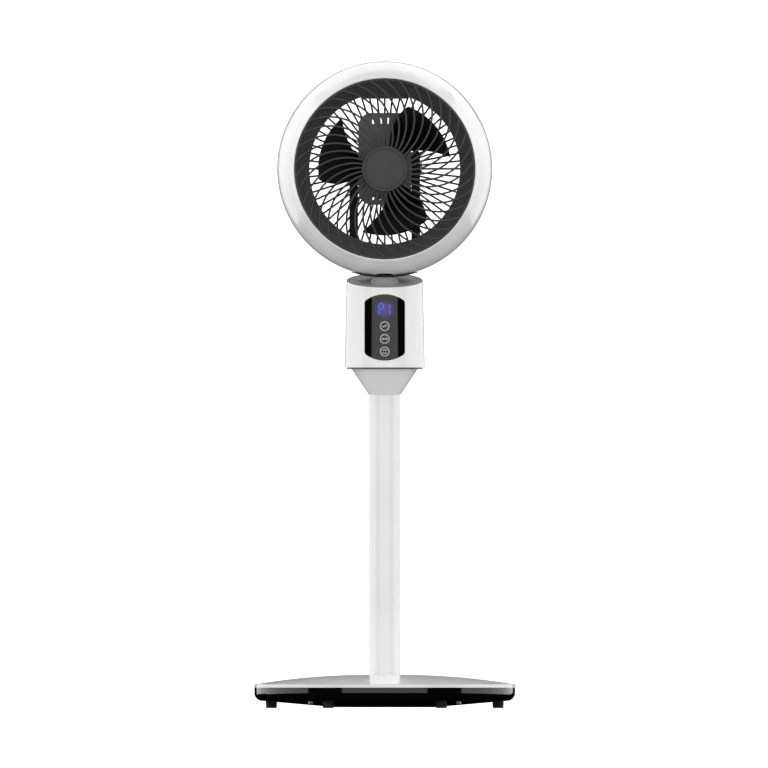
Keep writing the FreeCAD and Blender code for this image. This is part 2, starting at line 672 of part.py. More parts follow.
def make_buttons():
    """Round press buttons; a lip behind the panel keeps each one in."""
    for index, name in enumerate(("power_button", "speed_button", "swing_button")):
        level = f"(button_first - {index} * button_pitch)"
        face = f"({housing_radius(level)} + button_proud)"
        stem = button_block(f"{name}_stem", index, "button_radius", "button_depth", f"{face} - button_depth")
        lens_back = f"({housing_radius(level)} - panel_sink - panel_thickness - button_lip)"
        lip = button_block(f"{name}_lip", index, "button_radius + button_flange", "button_lip",
                           f"{lens_back} - button_lip")
        keep(joined("MultiFuse", name, [stem, lip]), name)


def make_main_board():
    """Level circuit board over the floor plate."""
    reach = housing_radius("main_board_level", "housing_wall + main_board_gap")
    rear = "main_board_depth / 2"
    half = f"sqrt({reach} ^ 2 - ({rear} + main_board_shift) ^ 2)"
    outline = rectangle(f"-{half}", half, f"-{rear} + main_board_shift", f"{rear} + main_board_shift")
    board = prism("main_board", [outline], "board_thickness")
    keep(in_housing(board, "main_board_level"), "main_board")


def make_bridge_plate():
    """Plate across the housing that holds the neck bearing and the swing motor."""
    plate = prism("bridge_disc", [("0", "0", housing_radius("bridge_level", "bridge_inset")),
                                  ("0", "0", "stem_radius + bearing_wall"),
                                  ("0", SWING_DISTANCE, "drive_shaft + shaft_gap")], "bridge_thickness")
    outline = rectangle("-housing_bottom", "housing_bottom", "-housing_bottom",
                        f"-({BOARD_FACE} - board_thickness - board_gap)")
    front = prism("bridge_front", [outline], "bridge_thickness")
    keep(in_housing(cut("bridge_plate", plate, front), "bridge_level"), "bridge_plate")


def make_neck_bearing():
    """Plain bearing for the yoke's stem."""
    foot = "bridge_level - bearing_sink"
    ring = revolved("neck_bearing", tube("stem_radius + running_gap", "stem_radius + bearing_wall", "0",
                                         "bearing_height"))
    keep(in_housing(ring, foot), "neck_bearing")


def make_swing_motor():
    """Small geared motor under the bridge, behind the stem."""
    can = prism("swing_motor", [("0", "0", SWING_MOTOR_RADIUS), ("0", "0", "drive_shaft + running_gap")],
                "drive_motor_length")
    keep(in_housing(can, "bridge_level - drive_motor_length", SWING_DISTANCE), "swing_motor")


# ---------------------------------------------------------------------- gears

def add_teeth(body, teeth, count, width, angle, module="gear_module"):
    """Straight-sided teeth round the Z axis, the first one on the body's X axis."""
    root = f"({module} * ({teeth} / 2 - tooth_root))"
    tip = f"({module} * ({teeth} / 2 + tooth_tip))"
    foot = f"{root} - tooth_bury"
    outline = [(foot, f"-{module} * tooth_foot_half"), (tip, f"-{module} * tooth_tip_half"),
               (tip, f"{module} * tooth_tip_half"), (foot, f"{module} * tooth_foot_half")]
    tooth = add_pad(body, [outline], width)
    return add_polar(body, tooth, count, angle)


def gear(label, teeth, bore, width, module):
    """A whole spur gear with a bore."""
    body = new_body(label)
    root = f"({module} * ({teeth} / 2 - tooth_root))"
    add_pad(body, [("0", "0", root), ("0", "0", bore)], width)
    add_teeth(body, teeth, teeth, width, "360", module)
    return body


def pinion(label, width, module="gear_module"):
    """A small gear in one piece with the shaft that goes down into its motor."""
    body = new_body(f"{label}_wheel")
    add_pad(body, [("0", "0", f"{module} * (pinion_teeth / 2 - tooth_root)")], width)
    add_teeth(body, "pinion_teeth", "pinion_teeth", width, "360", module)
    shaft = prism(f"{label}_shaft", [("0", "0", "drive_shaft")], "drive_motor_length")
    place(shaft, up="-drive_motor_length")
    return joined("MultiFuse", label, [body, shaft])


def half_tooth():
    return 180 / size("pinion_teeth")


def make_swing_gear():
    wheel = gear("swing_gear", "swing_gear_teeth", "stem_radius", "gear_width", SWING_MODULE)
    keep(in_housing(wheel, "swing_gear_level", turn=Rotation(Vector(0, 0, 1), 90)), "swing_gear")


def make_swing_pinion():
    wheel = pinion("swing_pinion", "gear_width", SWING_MODULE)
    turn = Rotation(Vector(0, 0, 1), half_tooth() - 90)
    keep(in_housing(wheel, "swing_gear_level", SWING_DISTANCE, turn), "swing_pinion")


def make_tilt_sector():
    """Toothed quadrant on the yoke's arm, with the hub that the tilt pin turns in."""
    body = new_body("tilt_sector_body")
    root = "(gear_module * (sector_teeth / 2 - tooth_root))"
    pitch = "(360 / sector_teeth)"
    steps = "(sector_rear_teeth + sector_front_teeth)"
    end = f"({pitch} * ({steps} + 0.5))"
    add_pad(body, [[("0", "0"), (f"{root} * cos({pitch} / 2)", f"-{root} * sin({pitch} / 2)", root),
                    (f"{root} * cos({end})", f"{root} * sin({end})")]], "sector_width")
    add_teeth(body, "sector_teeth", f"{steps} + 1", "sector_width", f"{pitch} * {steps}")
    hub = prism("sector_hub_rod", [("0", "0", "sector_hub")], "fork_inside - sector_seat")
    bore = prism("sector_bore", [("0", "0", "pin_radius + running_gap")], "fork_inside")
    wheel = cut("tilt_sector", joined("MultiFuse", "sector_blank", [body, hub]), bore)
    rearmost = size(f"sector_lean + sector_rear_teeth * {pitch}")
    turn = Rotation(Vector(1, 0, 0), 180 - rearmost) * SIDEWAYS
    keep(place(wheel, across="sector_seat", up=HEAD_LEVEL, turn=turn), "tilt_sector")


def make_tilt_pinion():
    wheel = pinion("tilt_pinion", "sector_width")
    lean = Rotation(Vector(1, 0, 0), 180 - size("sector_lean")) * SIDEWAYS
    turn = lean * Rotation(Vector(0, 0, 1), 180 + half_tooth())
    keep(place(wheel, across="sector_seat", back=f"{SECTOR_DISTANCE} * sin(sector_lean)",
               up=f"{HEAD_LEVEL} + {SECTOR_DISTANCE} * cos(sector_lean)", turn=turn), "tilt_pinion")


# ----------------------------------------------------------------------- yoke

def make_yoke_fork():
    """U-shaped fork whose arms carry the head at the ball's centre."""
    inner = "fork_inside"
    floor = "-(fork_bottom - fork_bar)"
    bend = "fork_corner"
    low = "-fork_bottom"
    top = "fork_top"
    half = HALF_TURN
    outline = [
        (f"-{FORK_OUTSIDE}", f"{low} + {bend}", bend), (f"-{FORK_OUTSIDE} + {bend}", low),
        (f"{FORK_OUTSIDE} - {bend}", low, bend), (FORK_OUTSIDE, f"{low} + {bend}"),
        (FORK_OUTSIDE, top, half), (inner, top), (inner, f"{floor} + fork_bar", "-fork_bar"),
        (f"{inner} - fork_bar", floor), (f"-({inner} - fork_bar)", floor, "-fork_bar"),
        (f"-{inner}", f"{floor} + fork_bar"), (f"-{inner}", top, half), (f"-{FORK_OUTSIDE}", top)]
    fork = prism("fork_blank", [outline], "fork_half_depth * 2", "XZ_Plane", both_ways=True)
    place(fork, up=HEAD_LEVEL)
    boss = prism("fork_boss", [("0", "0", "stem_radius + boss_wall")], "fork_bar")
    place(boss, up=f"{HEAD_LEVEL} - fork_bottom")
    bore = prism("fork_bore", [("0", "0", "pin_radius + running_gap")], f"{FORK_OUTSIDE} * 3",
                 "YZ_Plane", both_ways=True)
    place(bore, up=HEAD_LEVEL)
    seat = prism("fork_seat", [("0", "0", "stem_radius")], "fork_bar * 2")
    place(seat, up=f"{HEAD_LEVEL} - fork_bottom - fork_bar / 2")
    keep(cut("yoke_fork", joined("MultiFuse", "fork_whole", [fork, boss]), bore, seat), "yoke_fork")


STEM_FOOT = f"({HOUSING_FOOT} + bridge_level - bearing_sink - stem_tail)"


def make_yoke_stem():
    """Hollow stem from the fork down through the neck bearing."""
    length = f"({HEAD_LEVEL} - fork_bottom + fork_bar - ({STEM_FOOT}))"
    stem = prism("yoke_stem", [("0", "0", "stem_radius"), ("0", "0", "stem_bore")], length)
    keep(place(stem, up=STEM_FOOT), "yoke_stem")


def make_stem_clip():
    """Ring that keeps the stem from lifting out of its bearing."""
    level = "bridge_level - bearing_sink - clip_gap - clip_height"
    loops = [("0", "0", "stem_radius + clip_wall"), ("0", "0", "stem_radius")]
    keep(in_housing(prism("stem_clip", loops, "clip_height"), level), "stem_clip")


# ----------------------------------------------------------------- head shell

def ball_band(rear, front):
    """Half section of the ball's wall between two forward distances, with bevelled seams."""
    def at(radius, forward):
        return f"sqrt({radius} ^ 2 - ({forward}) ^ 2)"
    first = f"({rear} + seam_bevel)"
    last = f"({front} - seam_bevel)"
    return [(at("ball_radius", rear) + " - seam_bevel", rear),
            (at("ball_radius", first), first, "ball_radius"), (at("ball_radius", last), last),
            (at("ball_radius", front) + " - seam_bevel", front),
            (at(BALL_INSIDE, front), front, f"-{BALL_INSIDE}"), (at(BALL_INSIDE, rear), rear)]


def make_front_shell():
    keep(in_head(revolved("front_shell", ball_band("shell_seam", RING_EDGE))), "front_shell")


def pocket_block(label, inset, floor):
    """Block of the finger pocket, from its floor up past the ball's top."""
    half = f"(pocket_half_width - ({inset}))"
    block = prism(label, [rectangle(f"-{half}", half, f"pocket_front + ({inset})",
                                    f"pocket_rear - ({inset})")], "ball_radius")
    return place(block, up=f"{HEAD_LEVEL} + {floor}")


def make_rear_shell():
    """Rear of the ball, with the slot that the stem needs and the mouth of the finger pocket."""
    shell = in_head(revolved("rear_shell_band", ball_band(f"-{REAR_EDGE}", "shell_seam")))
    half = "(stem_radius + stem_clearance)"
    rear_end = "(ball_radius * sin(tilt_up))"
    front_end = "(ball_radius * sin(tilt_down))"
    slot = prism("stem_slot", [[(f"-{half}", f"-{front_end}", HALF_TURN), (half, f"-{front_end}"),
                                (half, rear_end, HALF_TURN), (f"-{half}", rear_end)]], "ball_radius")
    place(slot, up=f"{HEAD_LEVEL} - ball_radius - slot_margin")
    lower = prism("slot_limit", [rectangle("-ball_radius", "ball_radius", "-ball_radius", "ball_radius")],
                  "ball_radius + slot_margin - slot_top")
    place(lower, up=f"{HEAD_LEVEL} - ball_radius - slot_margin")
    slot_tool = joined("MultiCommon", "slot_tool", [slot, lower])
    mouth = pocket_block("pocket_mouth", "0", "pocket_floor")
    keep(cut("rear_shell", shell, slot_tool, mouth), "rear_shell")


def make_handle_pocket():
    """Finger pocket let into the top of the rear shell, open at the top."""
    ball = in_head(revolved("pocket_ball", [("0", "-ball_radius", HALF_TURN), ("0", "ball_radius")]))
    outside = pocket_block("pocket_outside", "0", "pocket_floor")
    blank = joined("MultiCommon", "pocket_blank", [ball, outside])
    hollow = pocket_block("pocket_hollow", "pocket_wall", "(pocket_floor + pocket_wall)")
    keep(cut("handle_pocket", blank, hollow), "handle_pocket")


def make_front_ring():
    """Lip round the mouth; it follows the ball and turns inwards."""
    start = f"({RING_EDGE} + seam_bevel)"
    ring = revolved("front_ring", [
        ("ring_radius - seam_bevel", RING_EDGE),
        (f"sqrt(ball_radius ^ 2 - {start} ^ 2)", start, "ball_radius"),
        ("mouth_radius + lip_out", f"{MOUTH_EDGE} - lip_fall"),
        ("mouth_radius", f"{MOUTH_EDGE} - lip_inside"), ("mouth_radius", RING_FOOT),
        ("mouth_radius + lip_wall", RING_FOOT), ("mouth_radius + lip_foot", RING_EDGE)])
    keep(in_head(ring), "front_ring")


def make_duct_ring():
    """Dark funnel behind the front grille."""
    back = f"({RING_EDGE} - fit_gap / 2)"
    ring = revolved("duct_ring", [
        ("duct_radius", "duct_rear"), ("mouth_radius - fit_gap", f"{back} - duct_flange"),
        ("mouth_radius - fit_gap", back), ("mouth_radius + lip_wall", back),
        ("mouth_radius + lip_wall", f"{back} - duct_flange"), ("duct_radius + duct_wall", "duct_rear")])
    keep(in_head(ring), "duct_ring")


# -------------------------------------------------------------------- grilles

def dome_band(rise, radius, front, depth):
    """Half section of a shallow dome: its front face rises towards the middle."""
    bow = f"(({radius} ^ 2 + {rise} ^ 2) / (2 * {rise}))"
    return [("0", f"{front} + {rise} - {depth}"), (radius, f"{front} - {depth}"), (radius, front, bow),
            ("0", f"{front} + {rise}")]


def rib_corner(radius, arc):
    """Where a rib's arc crosses a circle round the head's axis, its centre being on the X axis."""
    across = f"((({radius}) ^ 2 + rib_centre ^ 2 - ({arc}) ^ 2) / (2 * rib_centre))"
    return across, f"-sqrt(({radius}) ^ 2 - {across} ^ 2)"


def make_front_grille():
    """Curved ribs between a hub plate and a rim, on a shallow dome."""
    ribs = new_body("front_ribs")
    inside = "(rib_arc - rib_thickness / 2)"
    outside = "(rib_arc + rib_thickness / 2)"
    near = "(grille_hub - rib_bury)"
    rim = "(mouth_radius - fit_gap)"
    far = f"({rim} - grille_rim_width / 2)"
    outline = [rib_corner(near, outside) + (outside,), rib_corner(far, outside),
               rib_corner(far, inside) + (f"-{inside}",), rib_corner(near, inside)]
    height = f"({GRILLE_FRONT} + grille_rise + overrun)"
    rib = add_pad(ribs, [outline], height)
    add_polar(ribs, rib, "rib_count")
    dome = revolved("front_dome", dome_band("grille_rise", rim, GRILLE_FRONT, "grille_depth"))
    bent = joined("MultiCommon", "front_ribs_bent", [ribs, dome])
    hub_front = f"({GRILLE_FRONT} + grille_rise)"
    hub = revolved("front_hub", tube("grille_hub - hub_band", "grille_hub",
                                     f"{hub_front} - grille_depth - hub_extra", hub_front))
    edge = revolved("front_rim", tube(f"{rim} - grille_rim_width", rim, f"{GRILLE_FRONT} - grille_rim_depth",
                                      GRILLE_FRONT))
    keep(in_head(joined("MultiFuse", "front_grille", [bent, hub, edge])), "front_grille")


def make_hub_cap():
    """Round cap clipped over the grille's hub."""
    back = f"({GRILLE_FRONT} + grille_rise)"
    clip = "(grille_hub - hub_band - cap_clip_width)"
    cap = revolved("hub_cap", [
        ("0", back), (clip, back), (clip, f"{back} - cap_clip_depth"),
        ("grille_hub - hub_band", f"{back} - cap_clip_depth"), ("grille_hub - hub_band", back),
        ("cap_radius", back), ("cap_radius", f"{back} + cap_depth - cap_edge", "cap_edge"),
        ("cap_radius - cap_edge", f"{back} + cap_depth"),
        ("0", f"{back} + cap_depth")])
    keep(in_head(cap), "hub_cap")


def make_rear_grille():
    """Straight ribs from the plate behind the motor pod to the rear shell's edge."""
    ribs = new_body("rear_ribs")
    half = "rear_rib_thickness / 2"
    reach = f"({REAR_INSIDE} - overrun)"
    rib = add_pad(ribs, [rectangle("rear_plate - rib_bury", reach, f"-{half}", half)],
                  f"{REAR_EDGE} + rear_rise + overrun")
    add_polar(ribs, rib, "rear_rib_count")
    dome = revolved("rear_dome", dome_band("rear_rise", "rear_radius", REAR_EDGE, "rear_depth"))
    bent = joined("MultiCommon", "rear_ribs_bent", [ribs, dome])
    plate_back = f"({REAR_EDGE} + rear_rise)"
    plate = revolved("rear_plate_disc", [("0", POD_REAR), ("rear_plate", POD_REAR),
                                         ("rear_plate", plate_back), ("0", plate_back)])
    lip = f"({REAR_EDGE} + rear_lip)"
    inner = f"({REAR_EDGE} - rear_depth - rear_rim_depth)"
    edge = revolved("rear_rim", [(f"{REAR_INSIDE} - rear_rim_width", inner), (REAR_INSIDE, inner),
                                 (REAR_INSIDE, REAR_EDGE), ("rear_radius", REAR_EDGE),
                                 ("rear_radius - rear_lip", lip),
                                 (f"{REAR_INSIDE} - rear_rim_width", lip)])
    holes = ring_of_rods("rear_holes", "pod_screw_ring", "screw_radius", "screw_count",
                         f"{plate_back} + overrun")
    whole = cut("rear_grille", joined("MultiFuse", "rear_grille_blank", [bent, plate, edge]), holes)
    keep(place(whole, up=HEAD_LEVEL, turn=BACKWARD), "rear_grille")


def make_rear_screws():
    """Four screws from behind through the rear grille into the motor pod."""
    screws = screw_ring("rear_screws", "pod_screw_ring", "screw_count", "pod_screw_length")
    turn = BACKWARD * Rotation(Vector(1, 0, 0), 180)
    keep(place(screws, back=f"{REAR_EDGE} + rear_rise", up=HEAD_LEVEL, turn=turn), "rear_screws")


# ------------------------------------------------------------------ motor pod

def pod_outline(inset):
    """Upright rounded rectangle, moved inwards."""
    side = f"(pod_half_width - ({inset}))"
    top = f"(pod_top - ({inset}))"
    low = f"-(pod_bottom - ({inset}))"
    bend = f"(pod_corner - ({inset}))"
    return [(f"{side} - {bend}", low, bend), (side, f"{low} + {bend}"), (side, f"{top} - {bend}", bend),
            (f"{side} - {bend}", top), (f"-({side} - {bend})", top, bend), (f"-{side}", f"{top} - {bend}"),
            (f"-{side}", f"{low} + {bend}", bend), (f"-({side} - {bend})", low)]


def vent_slots():
    """Slots right through the pod near its top and its bottom."""
    slots = []
    for row, level in (("top", "vent_top"), ("low", "-vent_low")):
        for index in range(int(size("vent_count"))):
            middle = f"((({index}) - (vent_count - 1) / 2) * vent_pitch)"
            loop = rectangle(f"{middle} - vent_width / 2", f"{middle} + vent_width / 2",
                             f"{level} - vent_height / 2", f"{level} + vent_height / 2")
            slot = prism(f"vent_{row}_{index}", [loop], "ball_radius * 2", both_ways=True)
            slots.append(slot)
    return slots


def sideways_rod(label, radius, start, length):
    """A rod along X on the tilt axis, in the head's own directions."""
    rod = prism(label, [("0", "0", radius)], length)
    return place(rod, across=start, turn=SIDEWAYS)


def pod_blank(label):
    """The whole pod before it is split: walls, pin seats, vents and screw bosses."""
    outside = prism(f"{label}_outside", [pod_outline("0")], f"pod_front + {POD_REAR}")
    place(outside, up=f"-{POD_REAR}")
    inside = prism(f"{label}_inside", [pod_outline("pod_wall")], f"pod_front + {POD_REAR} - pod_wall * 2")
    place(inside, up=f"-{POD_REAR} + pod_wall")
    shell = cut(f"{label}_shell", outside, inside)
    left = sideways_rod(f"{label}_left_seat", "pin_radius + pod_plate", "-(pod_half_width - overrun)",
                        "pin_boss")
    plate = prism(f"{label}_plate", [rectangle("pin_seat", "pin_seat + pod_plate - core_gap",
                                               "-(pod_bottom - pod_wall / 2)", "pin_radius + pod_plate")],
                  "(pin_radius + pod_plate) * 2")
    place(plate, up="-(pin_radius + pod_plate)")
    bosses = ring_of_rods(f"{label}_bosses", "pod_screw_ring", "screw_radius + pod_boss_wall", "screw_count",
                          "pod_boss")
    place(bosses, up=f"-{POD_REAR}")
    solid = joined("MultiFuse", f"{label}_solid", [shell, left, plate, bosses])
    pin = sideways_rod(f"{label}_pin", "pin_radius", "-pod_half_width * 2", "pod_half_width * 4")
    hub = sideways_rod(f"{label}_hub", "sector_hub + fit_gap", "sector_seat + overrun", "pod_half_width")
    core = prism(f"{label}_core", [("0", "0", "motor_radius + core_gap")],
                 f"motor_front + endcap_thickness + motor_rear")
    place(core, up="-motor_rear")
    nose = prism(f"{label}_nose", [("0", "0", "bearing_outer + nose_gap")], "pod_front * 2")
    holes = ring_of_rods(f"{label}_holes", "pod_screw_ring", "screw_radius", "screw_count",
                         f"pod_screw_length - ({REAR_EDGE} + rear_rise - {POD_REAR})")
    place(holes, up=f"-{POD_REAR}")
    return cut(f"{label}_whole", solid, pin, hub, core, nose, holes, *vent_slots())


def half_space(label, forward):
    """Everything in front of the head's centre plane, or everything behind it."""
    outline = rectangle("-ball_radius", "ball_radius", "-ball_radius", "ball_radius")
    block = prism(label, [outline], "ball_radius")
    return place(block, up="0" if forward else "-ball_radius")


def make_pod_halves():
    """Front and rear half of the pod, split through the tilt pins."""
    for name, forward in (("pod_front_half", True), ("pod_rear_half", False)):
        half = joined("MultiCommon", name, [pod_blank(name), half_space(f"{name}_side", forward)])
        keep(in_head(half), name)


def make_tilt_pins():
    """Two headed pins on the tilt axis, fixed in the pod and turning in the yoke."""
    length = f"({FORK_OUTSIDE} + pin_gap - pin_seat)"
    section = screw_profile("pin_radius", "pin_head", "pin_head_width", length)
    pins = []
    for side, turn in (("1", -90), ("-1", 90)):
        pin = revolved(f"tilt_pin_{turn}", section)
        reach = f"{side} * ({FORK_OUTSIDE} + pin_gap)"
        pins.append(place(pin, across=reach, up=HEAD_LEVEL, turn=Rotation(Vector(0, 1, 0), turn)))
    keep(joined("MultiFuse", "tilt_pins", pins), "tilt_pins")


def make_tilt_motor():
    """Small geared motor in the pod; its shaft hole lies on the pinion's axis."""
    along = f"({SECTOR_DISTANCE} + tilt_motor_offset)"
    can = prism("tilt_motor_can", [("0", "0", "drive_motor_radius")], "drive_motor_length")
    place(can, across="sector_seat - drive_motor_length - core_gap", back=f"{along} * sin(sector_lean)",
          up=f"{HEAD_LEVEL} + {along} * cos(sector_lean)", turn=SIDEWAYS)
    hole = prism("tilt_motor_hole", [("0", "0", "drive_shaft + running_gap")], "drive_motor_length * 2")
    place(hole, across="sector_seat - drive_motor_length * 1.5",
          back=f"{SECTOR_DISTANCE} * sin(sector_lean)",
          up=f"{HEAD_LEVEL} + {SECTOR_DISTANCE} * cos(sector_lean)", turn=SIDEWAYS)
    keep(cut("tilt_motor", can, hole), "tilt_motor")


# ---------------------------------------------------------------------- motor

def make_motor_can():
    """Deep-drawn cup that holds the stator and the rear bearing."""
    inner = "(motor_radius - can_wall)"
    can = revolved("motor_can", [
        ("bearing_outer", "-motor_rear"), ("motor_radius", "-motor_rear"), ("motor_radius", "motor_front"),
        (inner, "motor_front"), (inner, "-motor_rear + can_wall"),
        ("bearing_outer + can_wall", "-motor_rear + can_wall"),
        ("bearing_outer + can_wall", "-motor_rear + bearing_width"),
        ("bearing_outer", "-motor_rear + bearing_width")])
    keep(in_head(can), "motor_can")


def make_motor_endcap():
    """Front plate of the motor, against the pod's front wall."""
    cap = revolved("motor_endcap", tube("bearing_outer", "motor_radius", "motor_front",
                                        "motor_front + endcap_thickness"))
    keep(in_head(cap), "motor_endcap")


def make_motor_stator():
    """Ring of laminations and windings."""
    stator = revolved("stator_ring", tube("rotor_radius + air_gap", "stator_radius", "-core_rear",
                                          "core_front"))
    spokes = revolved("stator_sleeve", tube("stator_radius", "motor_radius - can_wall",
                                            "-core_rear + sleeve_inset", "core_front - sleeve_inset"))
    keep(in_head(joined("MultiFuse", "motor_stator", [stator, spokes])), "motor_stator")


def make_motor_bearings():
    """Two small bearings, in the cup's rear and in the end plate."""
    rings = []
    for name, start in (("rear", "-motor_rear"), ("front", "motor_front - bearing_press")):
        ring = revolved(f"bearing_{name}", tube("shaft_radius + running_gap", "bearing_outer", start,
                                                f"{start} + bearing_width"))
        rings.append(ring)
    keep(in_head(joined("MultiFuse", "motor_bearings", rings)), "motor_bearings")


def make_motor_shaft():
    shaft = revolved("motor_shaft", [("0", "-shaft_rear"), ("shaft_radius", "-shaft_rear"),
                                     ("shaft_radius", "shaft_front"), ("0", "shaft_front")])
    keep(in_head(shaft), "motor_shaft")


def make_motor_rotor():
    keep(in_head(revolved("motor_rotor", tube("shaft_radius", "rotor_radius", "-core_rear", "core_front"))),
         "motor_rotor")


# ------------------------------------------------------------------- impeller

# Angles of a blade's two edges at its root, half way out and at its tip.
EDGES = {"leading": (48, 26, 10), "trailing": (76, 79.5, 69.5)}
BLADE_RINGS = 6
BLADE_STEPS = 6
BLADE_BEND = 1.25
BLADE_RISE = 2
BLADE_DROP = 6
ROOT_OVERLAP = 1.2


def edge_angle(name, share):
    """Angle of a blade's edge between root, middle and tip, on a parabola."""
    root, middle, tip = EDGES[name]
    return root + (4 * middle - 3 * root - tip) * share + 2 * (root + tip - 2 * middle) * share ** 2


def blade_point(radius, share, along):
    """Point on the blade's rear face; along runs from the leading edge to the trailing edge in front."""
    leading = edge_angle("leading", share)
    trailing = edge_angle("trailing", share)
    rear = size("fan_rear") + BLADE_RISE * (1 - share)
    front = size("fan_front") - size("blade_thickness") - BLADE_DROP * share
    angle = math.radians(leading + (trailing - leading) * along)
    lift = rear + (front - rear) * along ** BLADE_BEND
    return Vector(radius * math.cos(angle), radius * math.sin(angle), lift)


def blade_solid():
    """One blade: a surface from hub to tip, raised by the blade's thickness."""
    root = size("fan_hub") - ROOT_OVERLAP
    tip = size("fan_radius")
    grid = []
    for ring in range(BLADE_RINGS + 1):
        share = ring / BLADE_RINGS
        radius = root + (tip - root) * share
        grid.append([blade_point(radius, share, step / BLADE_STEPS) for step in range(BLADE_STEPS + 1)])
    surface = Part.BSplineSurface()
    surface.interpolate(grid)
    return surface.toShape().extrude(Vector(0, 0, size("blade_thickness")))


def make_impeller():
    """Hub cup with three swept blades in one moulding."""
    count = int(size("blade_count"))
    parts = []
    for index in range(count):
        blade = doc.addObject("Part::Feature", "Blade")
        blade.Shape = blade_solid()
        blade.Placement = FreeCAD.Placement(Vector(), Rotation(Vector(0, 0, 1), 360 / count * index))
        blade.Label = f"impeller_blade_{index}"
        parts.append(blade)
    inner = "(fan_hub - fan_hub_wall)"
    hub = revolved("impeller_hub", [
        ("shaft_radius", "fan_hub_rear"), ("nut_radius", "fan_hub_rear"),
        ("nut_radius", "fan_hub_front - fan_hub_wall"), (inner, "fan_hub_front - fan_hub_wall"),
        (inner, "fan_hub_rear"), ("fan_hub", "fan_hub_rear"),
        ("fan_hub", "fan_hub_front - hub_round", "hub_round"),
        ("fan_hub - hub_round", "fan_hub_front"), ("shaft_radius", "fan_hub_front")])
    keep(in_head(joined("MultiFuse", "impeller", [hub] + parts)), "impeller")


def make_spinner_nut():
    """Round nut that holds the impeller on the shaft."""
    nut = revolved("spinner_nut", [
        ("0", "shaft_front"), ("shaft_radius", "shaft_front"), ("shaft_radius", "fan_hub_front"),
        ("nut_radius", "fan_hub_front"), ("nut_radius", "nut_front - nut_round", "nut_round"),
        ("nut_radius - nut_round", "nut_front"), ("0", "nut_front")])
    keep(in_head(nut), "spinner_nut")


# ---------------------------------------------------------------------- build

def make_all():
    make_base_shell()
    make_base_feet()
    make_base_cover()
    make_base_screws()
    make_base_weight()
    make_pole_socket()
    make_pole_bolt()
    make_pole_nut()
    make_power_inlet()
    make_pole_tube()
    make_pole_plug()
    make_pole_collar()
    make_seam_ring()
    make_housing_floor()
    make_floor_screws()
    make_control_housing()
    make_neck_dish()
    make_display_lens()
    make_display_board()
    make_digit_module()
    make_button_switches()
    make_buttons()
    make_main_board()
    make_bridge_plate()
    make_neck_bearing()
    make_swing_motor()
    make_swing_gear()
    make_swing_pinion()
    make_tilt_sector()
    make_tilt_pinion()
    make_yoke_fork()
    make_yoke_stem()
    make_stem_clip()
    make_front_shell()
    make_rear_shell()
    make_handle_pocket()
    make_front_ring()
    make_duct_ring()
    make_front_grille()
    make_hub_cap()
    make_rear_grille()
    make_rear_screws()
    make_pod_halves()
    make_tilt_pins()
    make_tilt_motor()
    make_motor_can()
    make_motor_endcap()
    make_motor_stator()
    make_motor_bearings()
    make_motor_shaft()
    make_motor_rotor()
    make_impeller()
    make_spinner_nut()


def check_document():
    """Stop if any object failed or any sub-part is empty or broken."""
    for item in doc.Objects:
        if "Invalid" in item.State or "Error" in item.State:
            raise RuntimeError(f"{item.Label} did not compute: {item.State}")
    for item in sub_parts:
        if item.Shape.isNull() or not item.Shape.isValid() or not item.Shape.Solids:
            raise RuntimeError(f"{item.Label} has no sound shape")


make_all()
doc.recompute()
check_document()
os.makedirs("parts", exist_ok=True)
for item in sub_parts:
    item.Shape.exportStep(f"parts/{item.Label}.step")
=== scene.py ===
import math

import bmesh
import bpy
import numpy as np
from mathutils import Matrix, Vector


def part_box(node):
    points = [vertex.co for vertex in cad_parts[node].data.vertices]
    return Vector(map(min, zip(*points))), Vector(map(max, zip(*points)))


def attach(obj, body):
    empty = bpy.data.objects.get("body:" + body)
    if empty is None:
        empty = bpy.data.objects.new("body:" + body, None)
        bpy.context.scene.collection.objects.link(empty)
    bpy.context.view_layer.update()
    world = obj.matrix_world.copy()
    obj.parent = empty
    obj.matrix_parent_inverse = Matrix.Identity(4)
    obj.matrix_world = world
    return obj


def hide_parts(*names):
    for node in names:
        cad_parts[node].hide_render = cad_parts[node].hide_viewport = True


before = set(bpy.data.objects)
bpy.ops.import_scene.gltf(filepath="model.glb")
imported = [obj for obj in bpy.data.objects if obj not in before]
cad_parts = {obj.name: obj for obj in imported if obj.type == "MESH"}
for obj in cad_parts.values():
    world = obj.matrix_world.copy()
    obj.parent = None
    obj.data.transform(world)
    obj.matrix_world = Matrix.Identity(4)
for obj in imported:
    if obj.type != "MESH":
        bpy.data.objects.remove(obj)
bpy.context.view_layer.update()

# --------------------------------------------------------- floor and surround
# The fan stands on a pale matt floor inside a white surround. Both glow, so
# that they stay pale from every side. Neither is part of the fan.

FLOOR_HALF, FLOOR_SHADE, FLOOR_GLOW = 8.0, 0.8, 0.9
SURROUND_RADIUS, SURROUND_SHADE, SURROUND_GLOW = 9.0, 1.0, 1.0
PAINT_ROUGH = 0.9
MERGE = 1e-6


